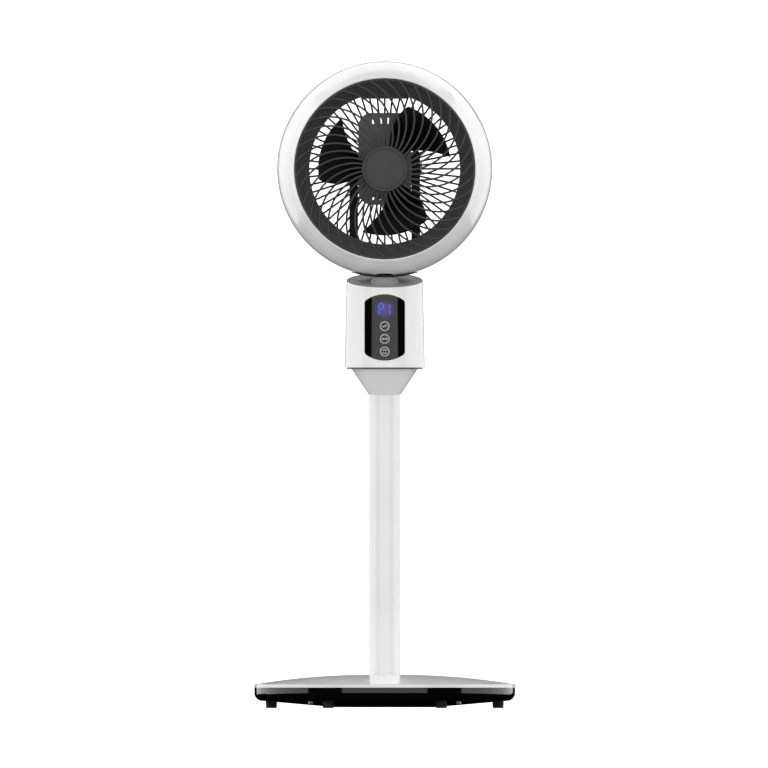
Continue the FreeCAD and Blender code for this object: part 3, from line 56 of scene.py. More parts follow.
def surface(name, points, round_u=False, round_v=False, crease=40):
    """A mesh from grids of points, each (rows, columns, 3): every cell is a quad, a round direction joins
    its ends, points that meet are merged, faces are turned outwards, and edges sharper than the crease
    angle stay crisp."""
    grids = points if isinstance(points, list) else [points]
    corners, cells, start = [], [], 0
    for grid in grids:
        rows, columns = grid.shape[:2]
        i = np.arange(rows if round_u else rows - 1)
        j = np.arange(columns if round_v else columns - 1)
        i, j = (a.ravel() for a in np.meshgrid(i, j, indexing="ij"))
        i2, j2 = (i + 1) % rows, (j + 1) % columns
        quad = np.stack([i * columns + j, i2 * columns + j, i2 * columns + j2, i * columns + j2], 1)
        corners.append(grid.reshape(-1, 3))
        cells.append(quad + start)
        start += rows * columns
    mesh = bpy.data.meshes.new(name)
    mesh.from_pydata(np.concatenate(corners), [], np.concatenate(cells).tolist())
    shape = bmesh.new()
    shape.from_mesh(mesh)
    bmesh.ops.remove_doubles(shape, verts=shape.verts, dist=MERGE)
    bmesh.ops.recalc_face_normals(shape, faces=shape.faces)
    shape.to_mesh(mesh)
    shape.free()
    mesh.polygons.foreach_set("use_smooth", np.full(len(mesh.polygons), True))
    mesh.set_sharp_from_angle(angle=math.radians(crease))
    mesh.update()
    thing = bpy.data.objects.new(name, mesh)
    bpy.context.scene.collection.objects.link(thing)
    return thing


def studio_paint(name, shade, glow):
    """Matt studio paint of one grey shade that also glows."""
    material = bpy.data.materials.new(name)
    material.use_nodes = True
    shader = material.node_tree.nodes["Principled BSDF"]
    shader.inputs["Base Color"].default_value = (shade, shade, shade, 1)
    shader.inputs["Roughness"].default_value = PAINT_ROUGH
    shader.inputs["Emission Color"].default_value = (shade, shade, shade, 1)
    shader.inputs["Emission Strength"].default_value = glow
    return material


side = np.array([-FLOOR_HALF, FLOOR_HALF])
floor_grid = np.stack([*np.meshgrid(side, side, indexing="ij"), np.zeros((2, 2))], -1)
floor = surface("floor", floor_grid)
floor.data.materials.append(studio_paint("floor_paint", FLOOR_SHADE, FLOOR_GLOW))
floor.visible_diffuse = floor.visible_glossy = False

turn, lift = np.meshgrid(np.linspace(0, 2 * np.pi, 49), np.linspace(-np.pi / 2, np.pi / 2, 25), indexing="ij")
surround_grid = np.stack([np.cos(lift) * np.cos(turn), np.cos(lift) * np.sin(turn), np.sin(lift)], -1)
surround = surface("surround", SURROUND_RADIUS * surround_grid)
surround.data.materials.append(studio_paint("surround_paint", SURROUND_SHADE, SURROUND_GLOW))
surround.visible_diffuse = surround.visible_glossy = surround.visible_shadow = False

# ----------------------------------------------------------- lamps and camera
# Large soft boxes light the fan: a wide one in front with a second above it,
# a tall one at each side, one overhead and one behind, in a dim grey room.

ROOM_SHADE = 0.40
VIEW_WIDTH = 1.152
VIEW_CENTRE = (-0.0011, -3.0, 0.4862)
MIDDLE, BACK_HALF = (0, 0, 0.5), (0, 0.4, 0.6)
SOFT_BOXES = {  # place, looks at, width, height, power
    "front_box": ((0, -1.9, 0.9), MIDDLE, 3.1, 1.9, 21),
    "high_front_box": ((0, -1.7, 2.5), MIDDLE, 2.4, 1.2, 8),
    "left_box": ((-1.93, 1.0, 1.0), BACK_HALF, 4.3, 2.6, 44),
    "right_box": ((1.93, 1.0, 1.0), BACK_HALF, 4.3, 2.6, 44),
    "top_box": ((0, -0.2, 2.7), MIDDLE, 2.4, 2.0, 8),
    "rear_box": ((0, 1.9, 2.1), MIDDLE, 2.4, 1.4, 14),
}

for name, (place, target, width, height, power) in SOFT_BOXES.items():
    lamp = bpy.data.lights.new(name, "AREA")
    lamp.shape = "RECTANGLE"
    lamp.size, lamp.size_y, lamp.energy = width, height, power
    holder = bpy.data.objects.new(name, lamp)
    holder.location = place
    holder.rotation_euler = (Vector(target) - Vector(place)).to_track_quat("-Z", "Y").to_euler()
    holder.visible_camera = False
    bpy.context.scene.collection.objects.link(holder)

room = bpy.data.worlds.new("room")
room.use_nodes = True
room.node_tree.nodes["Background"].inputs["Color"].default_value = (ROOM_SHADE, ROOM_SHADE, ROOM_SHADE, 1)
bpy.context.scene.world = room
room.cycles_visibility.glossy = False
bpy.context.scene.view_settings.view_transform = "Standard"

lens = bpy.data.cameras.new("camera")
lens.type = "ORTHO"
lens.ortho_scale = VIEW_WIDTH
camera = bpy.data.objects.new("camera", lens)
camera.location = VIEW_CENTRE
camera.rotation_euler = (math.pi / 2, 0, 0)
bpy.context.scene.collection.objects.link(camera)
bpy.context.scene.camera = camera

# ---------------------------------------------------------------- base shells
# The base is a lower shell in polished black plastic and a domed cover in
# polished white plastic. Both are injection moulded and screwed together.

COAT_ROUGH = 0.04
NOISE_LOW, NOISE_HIGH = 0.3, 0.7
BUMP_STRENGTH = 0.6


def finish(name, colour, rough, metal=0.0, coat=0.0, tint=0.04, blotch=9.0, grain=900.0, depth=0.00002,
           scratch=0.0, specular=0.5):
    """A finish on object coordinates: the colour drifts slowly, the roughness runs between two values with
    a cloudy noise, and the bump is a fine grain with, on drawn metal, long scratches."""
    material = bpy.data.materials.new(name)
    material.use_nodes = True
    nodes, links = material.node_tree.nodes, material.node_tree.links
    shader = nodes["Principled BSDF"]
    shader.inputs["Metallic"].default_value = metal
    shader.inputs["Coat Weight"].default_value = coat
    shader.inputs["Coat Roughness"].default_value = COAT_ROUGH
    shader.inputs["Specular IOR Level"].default_value = specular
    where = nodes.new("ShaderNodeTexCoord").outputs["Object"]

    def noise(scale, detail, stretch=None):
        source = where
        if stretch:
            mapping = nodes.new("ShaderNodeMapping")
            mapping.inputs["Scale"].default_value = stretch
            links.new(where, mapping.inputs["Vector"])
            source = mapping.outputs["Vector"]
        texture = nodes.new("ShaderNodeTexNoise")
        texture.inputs["Scale"].default_value = scale
        texture.inputs["Detail"].default_value = detail
        links.new(source, texture.inputs["Vector"])
        return texture.outputs["Fac"]

    def spread(value, low, high):
        ranged = nodes.new("ShaderNodeMapRange")
        ranged.inputs["From Min"].default_value = NOISE_LOW
        ranged.inputs["From Max"].default_value = NOISE_HIGH
        ranged.inputs["To Min"].default_value = low
        ranged.inputs["To Max"].default_value = high
        links.new(value, ranged.inputs["Value"])
        return ranged.outputs["Result"]

    drift = nodes.new("ShaderNodeMix")
    drift.data_type = "RGBA"
    links.new(spread(noise(blotch, 3), 0, 1), drift.inputs["Factor"])
    drift.inputs["A"].default_value = (*[c * (1 - tint) for c in colour], 1)
    drift.inputs["B"].default_value = (*[min(c * (1 + tint), 1) for c in colour], 1)
    links.new(drift.outputs["Result"], shader.inputs["Base Color"])

    worn = noise(blotch * 6, 6, (1, 1, 0.25))
    links.new(spread(worn, rough[0], rough[1]), shader.inputs["Roughness"])

    bump = nodes.new("ShaderNodeBump")
    bump.inputs["Distance"].default_value = depth
    bump.inputs["Strength"].default_value = BUMP_STRENGTH
    height = noise(grain, 3)
    if scratch:
        lines = nodes.new("ShaderNodeMath")
        lines.operation = "MULTIPLY_ADD"
        links.new(noise(grain, 2, (0.03, 0.03, 1)), lines.inputs[0])
        lines.inputs[1].default_value = scratch
        links.new(height, lines.inputs[2])
        height = lines.outputs["Value"]
    links.new(height, bump.inputs["Height"])
    links.new(bump.outputs["Normal"], shader.inputs["Normal"])
    return material


def dress(material, *nodes):
    """Gives the parts kept from the design their finish."""
    for node in nodes:
        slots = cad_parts[node].data.materials
        slots.clear()
        slots.append(material)


WHITE_PLASTIC = finish("white_plastic", (0.85, 0.85, 0.85), (0.16, 0.26), coat=0.3)
BLACK_GLOSS = finish("black_gloss", (0.002, 0.002, 0.002), (0.05, 0.12), coat=0.3)
dress(WHITE_PLASTIC, "base_cover")
dress(BLACK_GLOSS, "base_shell")

# ---------------------------------------------------------------- base inside
# A cast iron disc weighs the base down. A turned steel socket stands on it
# for the pole, held by a zinc plated bolt and nut; four screws close the base.

CAST_IRON = finish("cast_iron", (0.08, 0.08, 0.085), (0.5, 0.75), metal=0.8, depth=0.0003, grain=500)
STEEL = finish("steel", (0.55, 0.55, 0.56), (0.22, 0.38), metal=1.0, scratch=1.5)
ZINC = finish("zinc", (0.62, 0.63, 0.65), (0.25, 0.45), metal=1.0)
dress(CAST_IRON, "base_weight")
dress(STEEL, "pole_socket")
dress(ZINC, "base_screws", "pole_bolt", "pole_nut")

# ---------------------------------------------------------------- power inlet
# A round low-voltage socket in matt dark plastic, pressed into the back of
# the lower shell.

DARK_PLASTIC = finish("dark_plastic", (0.105, 0.105, 0.107), (0.42, 0.56), depth=0.00005)
dress(DARK_PLASTIC, "power_inlet")

# ----------------------------------------------------------------------- feet
# Six soft rubber pads pushed into the lower shell's floor. Each is moulded
# with a rounded foot and two grip grooves round it.

MM = 0.001
FOOT_RING, FOOT_COUNT, FOOT_RADIUS = 170, 6, 8.5
GROOVE_DEPTH, FOOT_HOLLOW = 0.5, 0.5
GROOVES = ((5.0, 4.6, 4.0, 3.6), (2.6, 2.2, 1.8))


def rounded(corners, bend, steps=5):
    """A path with every inner corner replaced by a parabola that starts and ends one bend away from it,
    and a holding point just outside each end so that flat stretches stay flat."""
    corners = np.array(corners, float)
    bends = np.broadcast_to(bend, len(corners) - 2)
    path = [corners[:1]]
    for before, corner, after, reach in zip(corners[:-2], corners[1:-1], corners[2:], bends):
        back = (before - corner) / np.linalg.norm(before - corner)
        on = (after - corner) / np.linalg.norm(after - corner)
        t = np.linspace(0, 1, steps + 1)[:, None]
        arc = corner + reach * (back * (1 - t) ** 2 + on * t ** 2)
        path += [(corner + back * reach * 1.3)[None], arc, (corner + on * reach * 1.3)[None]]
    return np.concatenate(path + [corners[-1:]])


def turned(profile, steps, axis_point=(0, 0, 0), forward=False):
    """A surface of revolution: each (radius, level) of the profile, in millimetres, goes round the upright
    axis through a point, or round the level axis that runs to the front when forward is set."""
    profile = np.asarray(profile, float) * MM
    angle = np.linspace(0, 2 * np.pi, steps, endpoint=False)
    across = profile[:, :1] * np.cos(angle)
    other = profile[:, :1] * np.sin(angle)
    level = np.broadcast_to(profile[:, 1:], across.shape)
    grid = np.stack([across, -level, other] if forward else [across, other, level], -1)
    return grid + np.array(axis_point)


def piece(name, grids, material, body, slot, *nodes, **shape):
    """A finished piece: its surface, its material, the body it moves with and the parts it stands for."""
    thing = surface(name, grids, **shape)
    thing.data.materials.append(material)
    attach(thing, body)
    if nodes:
        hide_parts(*nodes)
    return thing


RUBBER = finish("rubber", (0.02, 0.02, 0.02), (0.7, 0.85), depth=0.0001)
foot_low, foot_high = (corner.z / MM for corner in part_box("base_feet"))
(groove_top, groove_in, groove_out, groove_end), (low_groove_top, low_groove_in, low_groove_out) = GROOVES
groove_radius = FOOT_RADIUS - GROOVE_DEPTH
foot_path = rounded([(0, foot_high), (FOOT_RADIUS, foot_high), (FOOT_RADIUS, groove_top),
                     (groove_radius, groove_in), (groove_radius, groove_out), (FOOT_RADIUS, groove_end),
                     (FOOT_RADIUS, low_groove_top), (groove_radius, low_groove_in),
                     (groove_radius, low_groove_out), (FOOT_RADIUS - 0.3, foot_low),
                     (FOOT_RADIUS - 2.6, foot_low), (FOOT_RADIUS - 3.2, foot_low + FOOT_HOLLOW),
                     (0, foot_low + FOOT_HOLLOW)],
                    [0.15, 0.12, 0.12, 0.12, 0.12, 0.12, 0.12, 0.12, 0.4, 0.2, 0.2], 3)
foot_angle = np.arange(FOOT_COUNT) * 2 * np.pi / FOOT_COUNT
foot_places = FOOT_RING * MM * np.stack([np.cos(foot_angle), np.sin(foot_angle), 0 * foot_angle], -1)
piece("rubber_feet", [turned(foot_path, 40, place) for place in foot_places], RUBBER, "stand", "rubber",
      "base_feet", round_v=True)

# ----------------------------------------------------------------------- pole
# A drawn tube painted glossy white, slid over the socket in the base. A dark
# plastic plug closes its top and carries the housing.

WHITE_METAL = finish("white_metal", (0.86, 0.86, 0.86), (0.14, 0.24), coat=0.4, grain=450)
dress(WHITE_METAL, "pole_tube")
dress(DARK_PLASTIC, "pole_plug")

# ----------------------------------------------------------- cone and housing
# A white moulded cone hides the joint of pole and housing, with a dark disc
# over it that shows as a line: painted shade for the shadow gap under the
# housing. The housing is one white moulded sleeve on a dark floor plate,
# held by three screws.

dress(WHITE_PLASTIC, "pole_collar", "control_housing")
# the seam ring's dark plastic is painted shade for the gap under the housing
dress(DARK_PLASTIC, "seam_ring", "housing_floor")
dress(ZINC, "floor_screws")

# --------------------------------------------------------------- panel's bead
# The panel is framed by a thin bead of polished white plastic, moulded with
# the housing and bevelled all round its window.

HOUSING_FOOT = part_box("control_housing")[0].z / MM
FOOT_WIDE, TAPER, HOUSING_TALL = 60.0, 2.8, 130.5
PANEL_HALF, PANEL_LEVEL, PANEL_STRAIGHT, PANEL_RISE, PANEL_CORNER = 31.0, 60.0, 40.0, 10.6, 8.0
BEAD_INSET, BEAD_PROUD, BEAD_HALF = 0.35, 0.35, 1.15


def on_housing(across, level, proud):
    """Millimetre points on the tapered housing's front: the depth that the radius at that level leaves for
    x, by the circle's equation."""
    radius = FOOT_WIDE - TAPER * level / HOUSING_TALL + proud
    return np.stack([across, -np.sqrt(radius ** 2 - across ** 2), HOUSING_FOOT + level], -1) * MM


def bead(points, out, off, section):
    """A closed strip: every (out, off) of the section is carried along a closed path of points and laid off
    along the path's own outward and sideways directions."""
    return points[:, None] + section[None, :, :1] * out[:, None] + section[None, :, 1:] * off[:, None]


def panel_outline(grow, steps=24):
    """Closed outline of the window in (across, level): two bowed ends and four round corners that meet the
    bows smoothly; the bow's and the corner's circles touch on the line through their two centres."""
    half, rise = PANEL_HALF + grow, PANEL_RISE + grow
    bow = (half ** 2 + rise ** 2) / (2 * rise)
    inset = half - PANEL_CORNER
    lean = np.arccos(inset / (bow - PANEL_CORNER))
    drop = PANEL_STRAIGHT + rise - bow
    turn = np.linspace(0, lean, steps)
    corner_middle = np.array([inset, drop + (bow - PANEL_CORNER) * np.sin(lean)])
    corner = corner_middle + PANEL_CORNER * np.stack([np.cos(turn), np.sin(turn)], -1)
    crown = np.linspace(lean, np.pi / 2, steps)[1:]
    top = np.stack([bow * np.cos(crown), drop + bow * np.sin(crown)], -1)
    quarter = np.concatenate([corner, top])
    upper = np.concatenate([quarter, quarter[-2::-1] * (-1, 1)])
    side_steps = np.linspace(upper[-1], upper[-1] * (1, -1), steps)[1:-1]
    lower = -upper
    other_side = np.linspace(lower[-1], lower[-1] * (1, -1), steps)[1:-1]
    return np.concatenate([upper, side_steps, lower, other_side]) + (0, PANEL_LEVEL)


outline = panel_outline(BEAD_INSET)
spot = on_housing(outline[:, 0], outline[:, 1], 0.0)
along = np.roll(spot, -1, 0) - np.roll(spot, 1, 0)
along /= np.linalg.norm(along, axis=1, keepdims=True)
face = spot * np.array([1, 1, 0])
face /= np.linalg.norm(face, axis=1, keepdims=True)
beside = np.cross(along, face)
circle = np.linspace(0, 2 * np.pi, 12, endpoint=False)
bead_section = np.stack([BEAD_PROUD * np.cos(circle), BEAD_HALF * np.sin(circle)], -1) * MM
piece("panel_bead", bead(spot, face, beside, bead_section), WHITE_PLASTIC, "stand", "white_plastic",
      round_u=True, round_v=True)

# ---------------------------------------------------- smoked cover and digits
# The panel's cover is a curved sheet of smoked black plastic, set in from
# behind. Two lit digits show through it; the soft violet glow around them is
# a painted glow, emission in the cover's own material.

DIGIT_LEVEL, DIGIT_HALF, DIGIT_STEP, STROKE = 87.2, 3.3, 4.4, 1.25
DIGIT_FRONT, DIGIT_BACK = -0.5, -0.58
LEFT_DIGIT, RIGHT_DIGIT = -5.6, 4.2
DIGIT_LIGHT, DIGIT_POWER = (0.015, 0.07, 0.5, 1), 0.8
HALO_LIGHT, HALO_START, HALO_POWER = (0.11, 0.08, 0.42, 1), 0.25, 0.4
HALO_HALF, HALO_DEPTH, HALO_PLACE = 0.017, 0.03, -0.057
SEGMENTS = {"a": ((-1, 2), (1, 2)), "b": ((1, 2), (1, 0)), "c": ((1, 0), (1, -2)), "e": ((-1, 0), (-1, -2)),
            "f": ((-1, 2), (-1, 0)), "g": ((-1, 0), (1, 0))}
ALONG_STROKE = np.array([0.08, 0.22, 0.5, 0.78, 0.92])[:, None]
STROKE_WIDTHS = np.array([0.05, 1, 1, 1, 0.05])[:, None] * STROKE

SMOKED = finish("smoked_panel", (0.002, 0.002, 0.002), (0.05, 0.12), coat=0.3)
smoked_nodes, smoked_links = SMOKED.node_tree.nodes, SMOKED.node_tree.links
smoked_shader = smoked_nodes["Principled BSDF"]
# painted glow: the cover emits violet light that fades with distance from the digits
centred = smoked_nodes.new("ShaderNodeMapping")
centred.vector_type = "TEXTURE"
centred.inputs["Location"].default_value = (0, HALO_PLACE, (HOUSING_FOOT + DIGIT_LEVEL) * MM)
centred.inputs["Scale"].default_value = (HALO_HALF, HALO_DEPTH, HALO_HALF)
distance = smoked_nodes.new("ShaderNodeVectorMath")
distance.operation = "LENGTH"
painted_halo = smoked_nodes.new("ShaderNodeMapRange")
painted_halo.interpolation_type = "SMOOTHSTEP"
painted_halo.inputs["From Min"].default_value = HALO_START
painted_halo.inputs["To Min"].default_value = HALO_POWER
painted_halo.inputs["To Max"].default_value = 0.0
object_place = next(n for n in smoked_nodes if n.type == "TEX_COORD").outputs["Object"]
smoked_links.new(object_place, centred.inputs["Vector"])
smoked_links.new(centred.outputs["Vector"], distance.inputs[0])
smoked_links.new(distance.outputs["Value"], painted_halo.inputs["Value"])
smoked_links.new(painted_halo.outputs["Result"], smoked_shader.inputs["Emission Strength"])
smoked_shader.inputs["Emission Color"].default_value = HALO_LIGHT
dress(SMOKED, "display_lens")


def stroke_bar(letter, across):
    """One pointed bar of a seven-part digit: its middle line is a straight blend of two corners, a width that
    falls to nothing at the ends goes to each side, and front and back lie on the housing's curve."""
    start, end = (np.array(corner) * (DIGIT_HALF, DIGIT_STEP) for corner in SEGMENTS[letter])
    middle = start + (end - start) * ALONG_STROKE
    sideways = np.array([-(end - start)[1], (end - start)[0]]) / np.linalg.norm(end - start)
    left, right = middle - sideways * STROKE_WIDTHS, middle + sideways * STROKE_WIDTHS
    ring = [on_housing(edge[:, 0] + across, edge[:, 1] + DIGIT_LEVEL, proud) for edge, proud in
            ((left, DIGIT_BACK), (right, DIGIT_BACK), (right, DIGIT_FRONT), (left, DIGIT_FRONT))]
    return np.stack(ring, 1)


DIGIT_GLOW = finish("digit_glow", (0.02, 0.06, 0.5), (0.3, 0.4))
digit_shader = DIGIT_GLOW.node_tree.nodes["Principled BSDF"]
digit_shader.inputs["Emission Color"].default_value = DIGIT_LIGHT
digit_shader.inputs["Emission Strength"].default_value = DIGIT_POWER
digit_bars = [stroke_bar(letter, LEFT_DIGIT) for letter in "abefg"]
digit_bars += [stroke_bar(letter, RIGHT_DIGIT) for letter in "bc"]
piece("lit_digits", digit_bars, DIGIT_GLOW, "stand", "glow_blue", round_v=True, crease=20)

# ----------------------------------------------------------------------- keys
# Three round keys come through the cover: a satin grey ring with a lip behind
# the cover, a polished black face sunk in it, and a generic printed sign.

KEY_RADIUS, KEY_LIP, KEY_WINDOW, LIP_THICK = 7.4, 8.6, 5.6, 1.6
FACE_GAP, FACE_RADIUS, FACE_DEPTH = 0.2, KEY_WINDOW - 0.1, 2
SIGN_HALF, SIGN_FRONT, SIGN_BACK = 0.5, 0.15, 0.4
KEY_RING = finish("key_ring", (0.42, 0.42, 0.43), (0.3, 0.4))
KEY_SIGN = finish("key_sign", (0.62, 0.62, 0.62), (0.35, 0.45))
wave = np.linspace(-3.6, 3.6, 25)
arc = np.linspace(0.4, 2.7, 16)
signs = {
    "power": [np.stack([wave, 1.1 * np.sin(wave * 0.9)], -1)],
    "speed": [np.array([(-2.2, 1.7), (-3.8, 0), (-2.2, -1.7)]), np.array([(-3.6, 0), (3.6, 0)]),
              np.array([(2.2, 1.7), (3.8, 0), (2.2, -1.7)])],
    "swing": [2.9 * np.stack([np.cos(a), np.sin(a)], -1) for a in (arc, arc + np.pi)]
    + [np.array([(1.2, 1.9), (2.8, 1.2), (3.6, 2.8)]), np.array([(-1.2, -1.9), (-2.8, -1.2), (-3.6, -2.8)])],
}


def sign_bar(path, front, level):
    """A flat bar along a path on a key's face: the path is moved half a width to each side and given a
    thickness, and its ends close to a point."""
    path = np.asarray(path, float)
    tangent = np.gradient(path, axis=0)
    tangent /= np.linalg.norm(tangent, axis=1, keepdims=True)
    beside = np.stack([-tangent[:, 1], tangent[:, 0]], -1) * SIGN_HALF
    ends = np.ones(len(path) + 2)
    ends[[0, -1]] = 0
    path, beside = (np.concatenate([v[:1], v, v[-1:]]) for v in (path, beside))
    beside = beside * ends[:, None]
    left, right = path - beside, path + beside
    ring = [np.stack([p[:, 0], np.full(len(p), front + depth), p[:, 1] + level], -1) * MM
            for p, depth in ((left, SIGN_BACK), (right, SIGN_BACK), (right, SIGN_FRONT), (left, SIGN_FRONT))]
    return np.stack(ring, 1)


for key, paths in signs.items():
    low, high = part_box(f"{key}_button")
    front, back = -low.y / MM, -high.y / MM
    centre = (0, 0, (low.z + high.z) / 2)
    face_path = rounded([(0, front - FACE_GAP), (KEY_WINDOW - 1.2, front - 0.22), (FACE_RADIUS, front - 0.5),
                         (FACE_RADIUS, front - FACE_DEPTH), (0, front - FACE_DEPTH)], [0.6, 0.1, 0.1])
    ring_path = rounded([(0, back), (KEY_LIP, back), (KEY_LIP, back + LIP_THICK),
                         (KEY_RADIUS, back + LIP_THICK), (KEY_RADIUS, front), (KEY_WINDOW, front),
                         (KEY_WINDOW, front - 1), (0, front - 1)], [0.2, 0.2, 0.2, 0.5, 0.3, 0.2])
    body = f"{key}_key"
    piece(f"{key}_key_face", turned(face_path, 48, centre, forward=True), BLACK_GLOSS, body,
          "black_gloss", round_v=True)
    piece(f"{key}_key_ring", turned(ring_path, 64, centre, forward=True), KEY_RING, body, "black_gloss",
          f"{key}_button", round_v=True)
    bars = [sign_bar(path, -front, centre[2] / MM) for path in paths]
    piece(f"{key}_key_sign", bars, KEY_SIGN, body, "black_gloss", round_v=True, crease=30)

# --------------------------------------------------------------------- boards
# Behind the panel stands a green circuit board with the digits' light module
# and three small push switches; a larger board lies over the floor plate.

BOARD_GREEN = finish("board_green", (0.03, 0.16, 0.07), (0.3, 0.45))
GLOW_BLUE = finish("glow_blue", (0.02, 0.03, 0.06), (0.2, 0.3))
dress(BOARD_GREEN, "display_board", "main_board")
dress(GLOW_BLUE, "digit_module")
dress(DARK_PLASTIC, "button_switches")

# ---------------------------------------------------------------- swing drive
# A zinc plated bridge holds a brass bearing for the neck and a small geared
# motor. Nylon gears turn the neck, which a zinc clip keeps from lifting out.

BRASS = finish("brass", (0.75, 0.55, 0.25), (0.2, 0.35), metal=1.0)
NYLON = finish("nylon", (0.75, 0.74, 0.70), (0.35, 0.5))
dress(ZINC, "bridge_plate", "swing_motor", "stem_clip")
dress(BRASS, "neck_bearing")
dress(NYLON, "swing_gear", "swing_pinion")

# ------------------------------------------------------------- top of housing
# A satin grey moulded plate is sunk into the housing's slanted top and rises
# round the neck. A thin dark bead lies on the housing's edge round it: painted
# shade for the gap line between housing and plate.

GREY_PLASTIC = finish("grey_plastic", (0.50, 0.50, 0.505), (0.35, 0.5), depth=0.00004)
dress(GREY_PLASTIC, "neck_dish")

GRILLE_DARK = finish("grille_dark", (0.028, 0.028, 0.029), (0.34, 0.46), depth=0.00003)
SLANT = math.radians(10.4)
EDGE_SHADE_INSET, EDGE_SHADE_HALF, EDGE_SHADE_PROUD, EDGE_SHADE_STEPS = 1.1, 0.75, 0.6, 220
edge_shade_turn = np.linspace(0, 2 * np.pi, EDGE_SHADE_STEPS, endpoint=False)
edge_shade_radius = np.full(EDGE_SHADE_STEPS, FOOT_WIDE - TAPER - EDGE_SHADE_INSET)
for _ in range(4):  # level and radius each follow from the other; four rounds settle them
    edge_shade_level = HOUSING_TALL + edge_shade_radius * np.sin(edge_shade_turn) * math.tan(SLANT)
    edge_shade_radius = FOOT_WIDE - TAPER * edge_shade_level / HOUSING_TALL - EDGE_SHADE_INSET
edge_shade_spot = np.stack([edge_shade_radius * np.cos(edge_shade_turn), edge_shade_radius * np.sin(edge_shade_turn),
                      HOUSING_FOOT + edge_shade_level], -1) * MM
edge_shade_out = np.stack([np.cos(edge_shade_turn), np.sin(edge_shade_turn), 0 * edge_shade_turn], -1)
edge_shade_up = np.broadcast_to(np.array([0, -math.sin(SLANT), math.cos(SLANT)]), edge_shade_out.shape)
edge_shade_section = np.stack([EDGE_SHADE_HALF * np.cos(circle), EDGE_SHADE_PROUD * np.sin(circle)], -1) * MM
# painted shade: a dark bead along the housing's edge for the gap line round the plate
piece("top_edge_shade", bead(edge_shade_spot, edge_shade_out, edge_shade_up, edge_shade_section), GRILLE_DARK, "stand", "dark_plastic",
      round_u=True, round_v=True)

# -------------------------------------------------------------- neck and yoke
# The neck is a blackened steel tube. It carries a U-shaped fork, moulded in
# black plastic, and the head hangs between its arms on two steel pins.

BLACKED_STEEL = finish("blacked_steel", (0.012, 0.012, 0.013), (0.3, 0.45), metal=0.6)
FAN_BLACK = finish("fan_black", (0.001, 0.001, 0.001), (0.22, 0.3), specular=0.12, depth=0.00001)
dress(BLACKED_STEEL, "yoke_stem")
dress(FAN_BLACK, "yoke_fork")
dress(STEEL, "tilt_pins")

# ----------------------------------------------------------------- shade strip
# A curved matt black strip on the neck lies just under the ball: painted
# shade for the dark shadow gap between ball and housing top. It also covers
# the slot that the neck stands in, and is a thin shell round the head's centre.

front_low, front_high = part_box("front_ring")
HEAD = (0, 0, (front_low.z + front_high.z) / 2)
SHADE_STRIP_ACROSS, SHADE_STRIP_ALONG, SHADE_STRIP_STEM = 50.0, 28.0, 13.0
SHADE_STRIP_NEAR, SHADE_STRIP_FAR, SHADE_STRIP_ROUND, SHADE_STRIP_STEPS = 161.9, 163.3, 0.3, 96
shade_turn = np.linspace(0, 2 * np.pi, SHADE_STRIP_STEPS, endpoint=False)[None]
shade_path = [(0.0, SHADE_STRIP_NEAR), (0.5, SHADE_STRIP_NEAR), (0.98, SHADE_STRIP_NEAR), (1.0, SHADE_STRIP_NEAR + SHADE_STRIP_ROUND),
              (1.0, SHADE_STRIP_FAR - SHADE_STRIP_ROUND), (0.98, SHADE_STRIP_FAR), (0.5, SHADE_STRIP_FAR), (0.0, SHADE_STRIP_FAR),
              (0.0, SHADE_STRIP_NEAR)]
# each (share, radius) goes round an oval between neck and edge, as low as the sphere of that radius there
shade_share, shade_radius = (np.array(column)[:, None] for column in zip(*shade_path))
shade_x = (SHADE_STRIP_STEM + (SHADE_STRIP_ACROSS - SHADE_STRIP_STEM) * shade_share) * np.cos(shade_turn)
shade_y = (SHADE_STRIP_STEM + (SHADE_STRIP_ALONG - SHADE_STRIP_STEM) * shade_share) * np.sin(shade_turn)
shade_z = -np.sqrt(shade_radius ** 2 - shade_x ** 2 - shade_y ** 2)
# painted shade: a dark sheet for the shadow in the gap under the ball
piece("painted_shade_strip", np.stack([shade_x, shade_y, shade_z], -1) * MM + np.array(HEAD), RUBBER, "yoke",
      "dark_plastic", round_v=True)

# ----------------------------------------------------------------- tilt drive
# A nylon toothed quadrant on the fork and a pinion on a small geared motor
# inside the head tilt it up and down.

dress(NYLON, "tilt_sector", "tilt_pinion")
dress(ZINC, "tilt_motor")

# ----------------------------------------------------------------- ball shell
# The head is a ball in polished white plastic, moulded in a front and a rear
# shell with a lip that turns in at the mouth. A dark box in the top takes the
# fingers, and a dark funnel leads from the lip to the blades.

dress(WHITE_PLASTIC, "front_shell", "rear_shell", "front_ring")
dress(DARK_PLASTIC, "handle_pocket", "duct_ring")

# --------------------------------------------------------------- front grille
# One dark satin moulding: ribs bent like arcs between a hub ring and a rim,
# on a shallow dome. Its rim sits in the lip of the mouth.

GRILLE_RIM, GRILLE_HUB, GRILLE_FRONT, GRILLE_RISE, GRILLE_DEPTH = 135.6, 33.5, 83.0, 7.0, 4.0
RIM_INSIDE, RIM_FOOT, RIM_MIDDLE, HUB_INSIDE, HUB_TALL, HUB_SINK = 132.5, 77, 80, 21.5, 5, 0.1
RIB_ARC, RIB_CENTRE, RIB_COUNT, RIB_HALF, RIB_START, RIB_END = 78.0, 83.3, 38, 1.5, 31.5, 134.0
RIB_CLOSE = 0.1


def dome_front(radius, rim, rise, front):
    """Level of a shallow spherical dome over the rim's plane at a distance from its axis."""
    bow = (rim ** 2 + rise ** 2) / (2 * rise)
    return np.sqrt(bow ** 2 - radius ** 2) - bow + front + rise


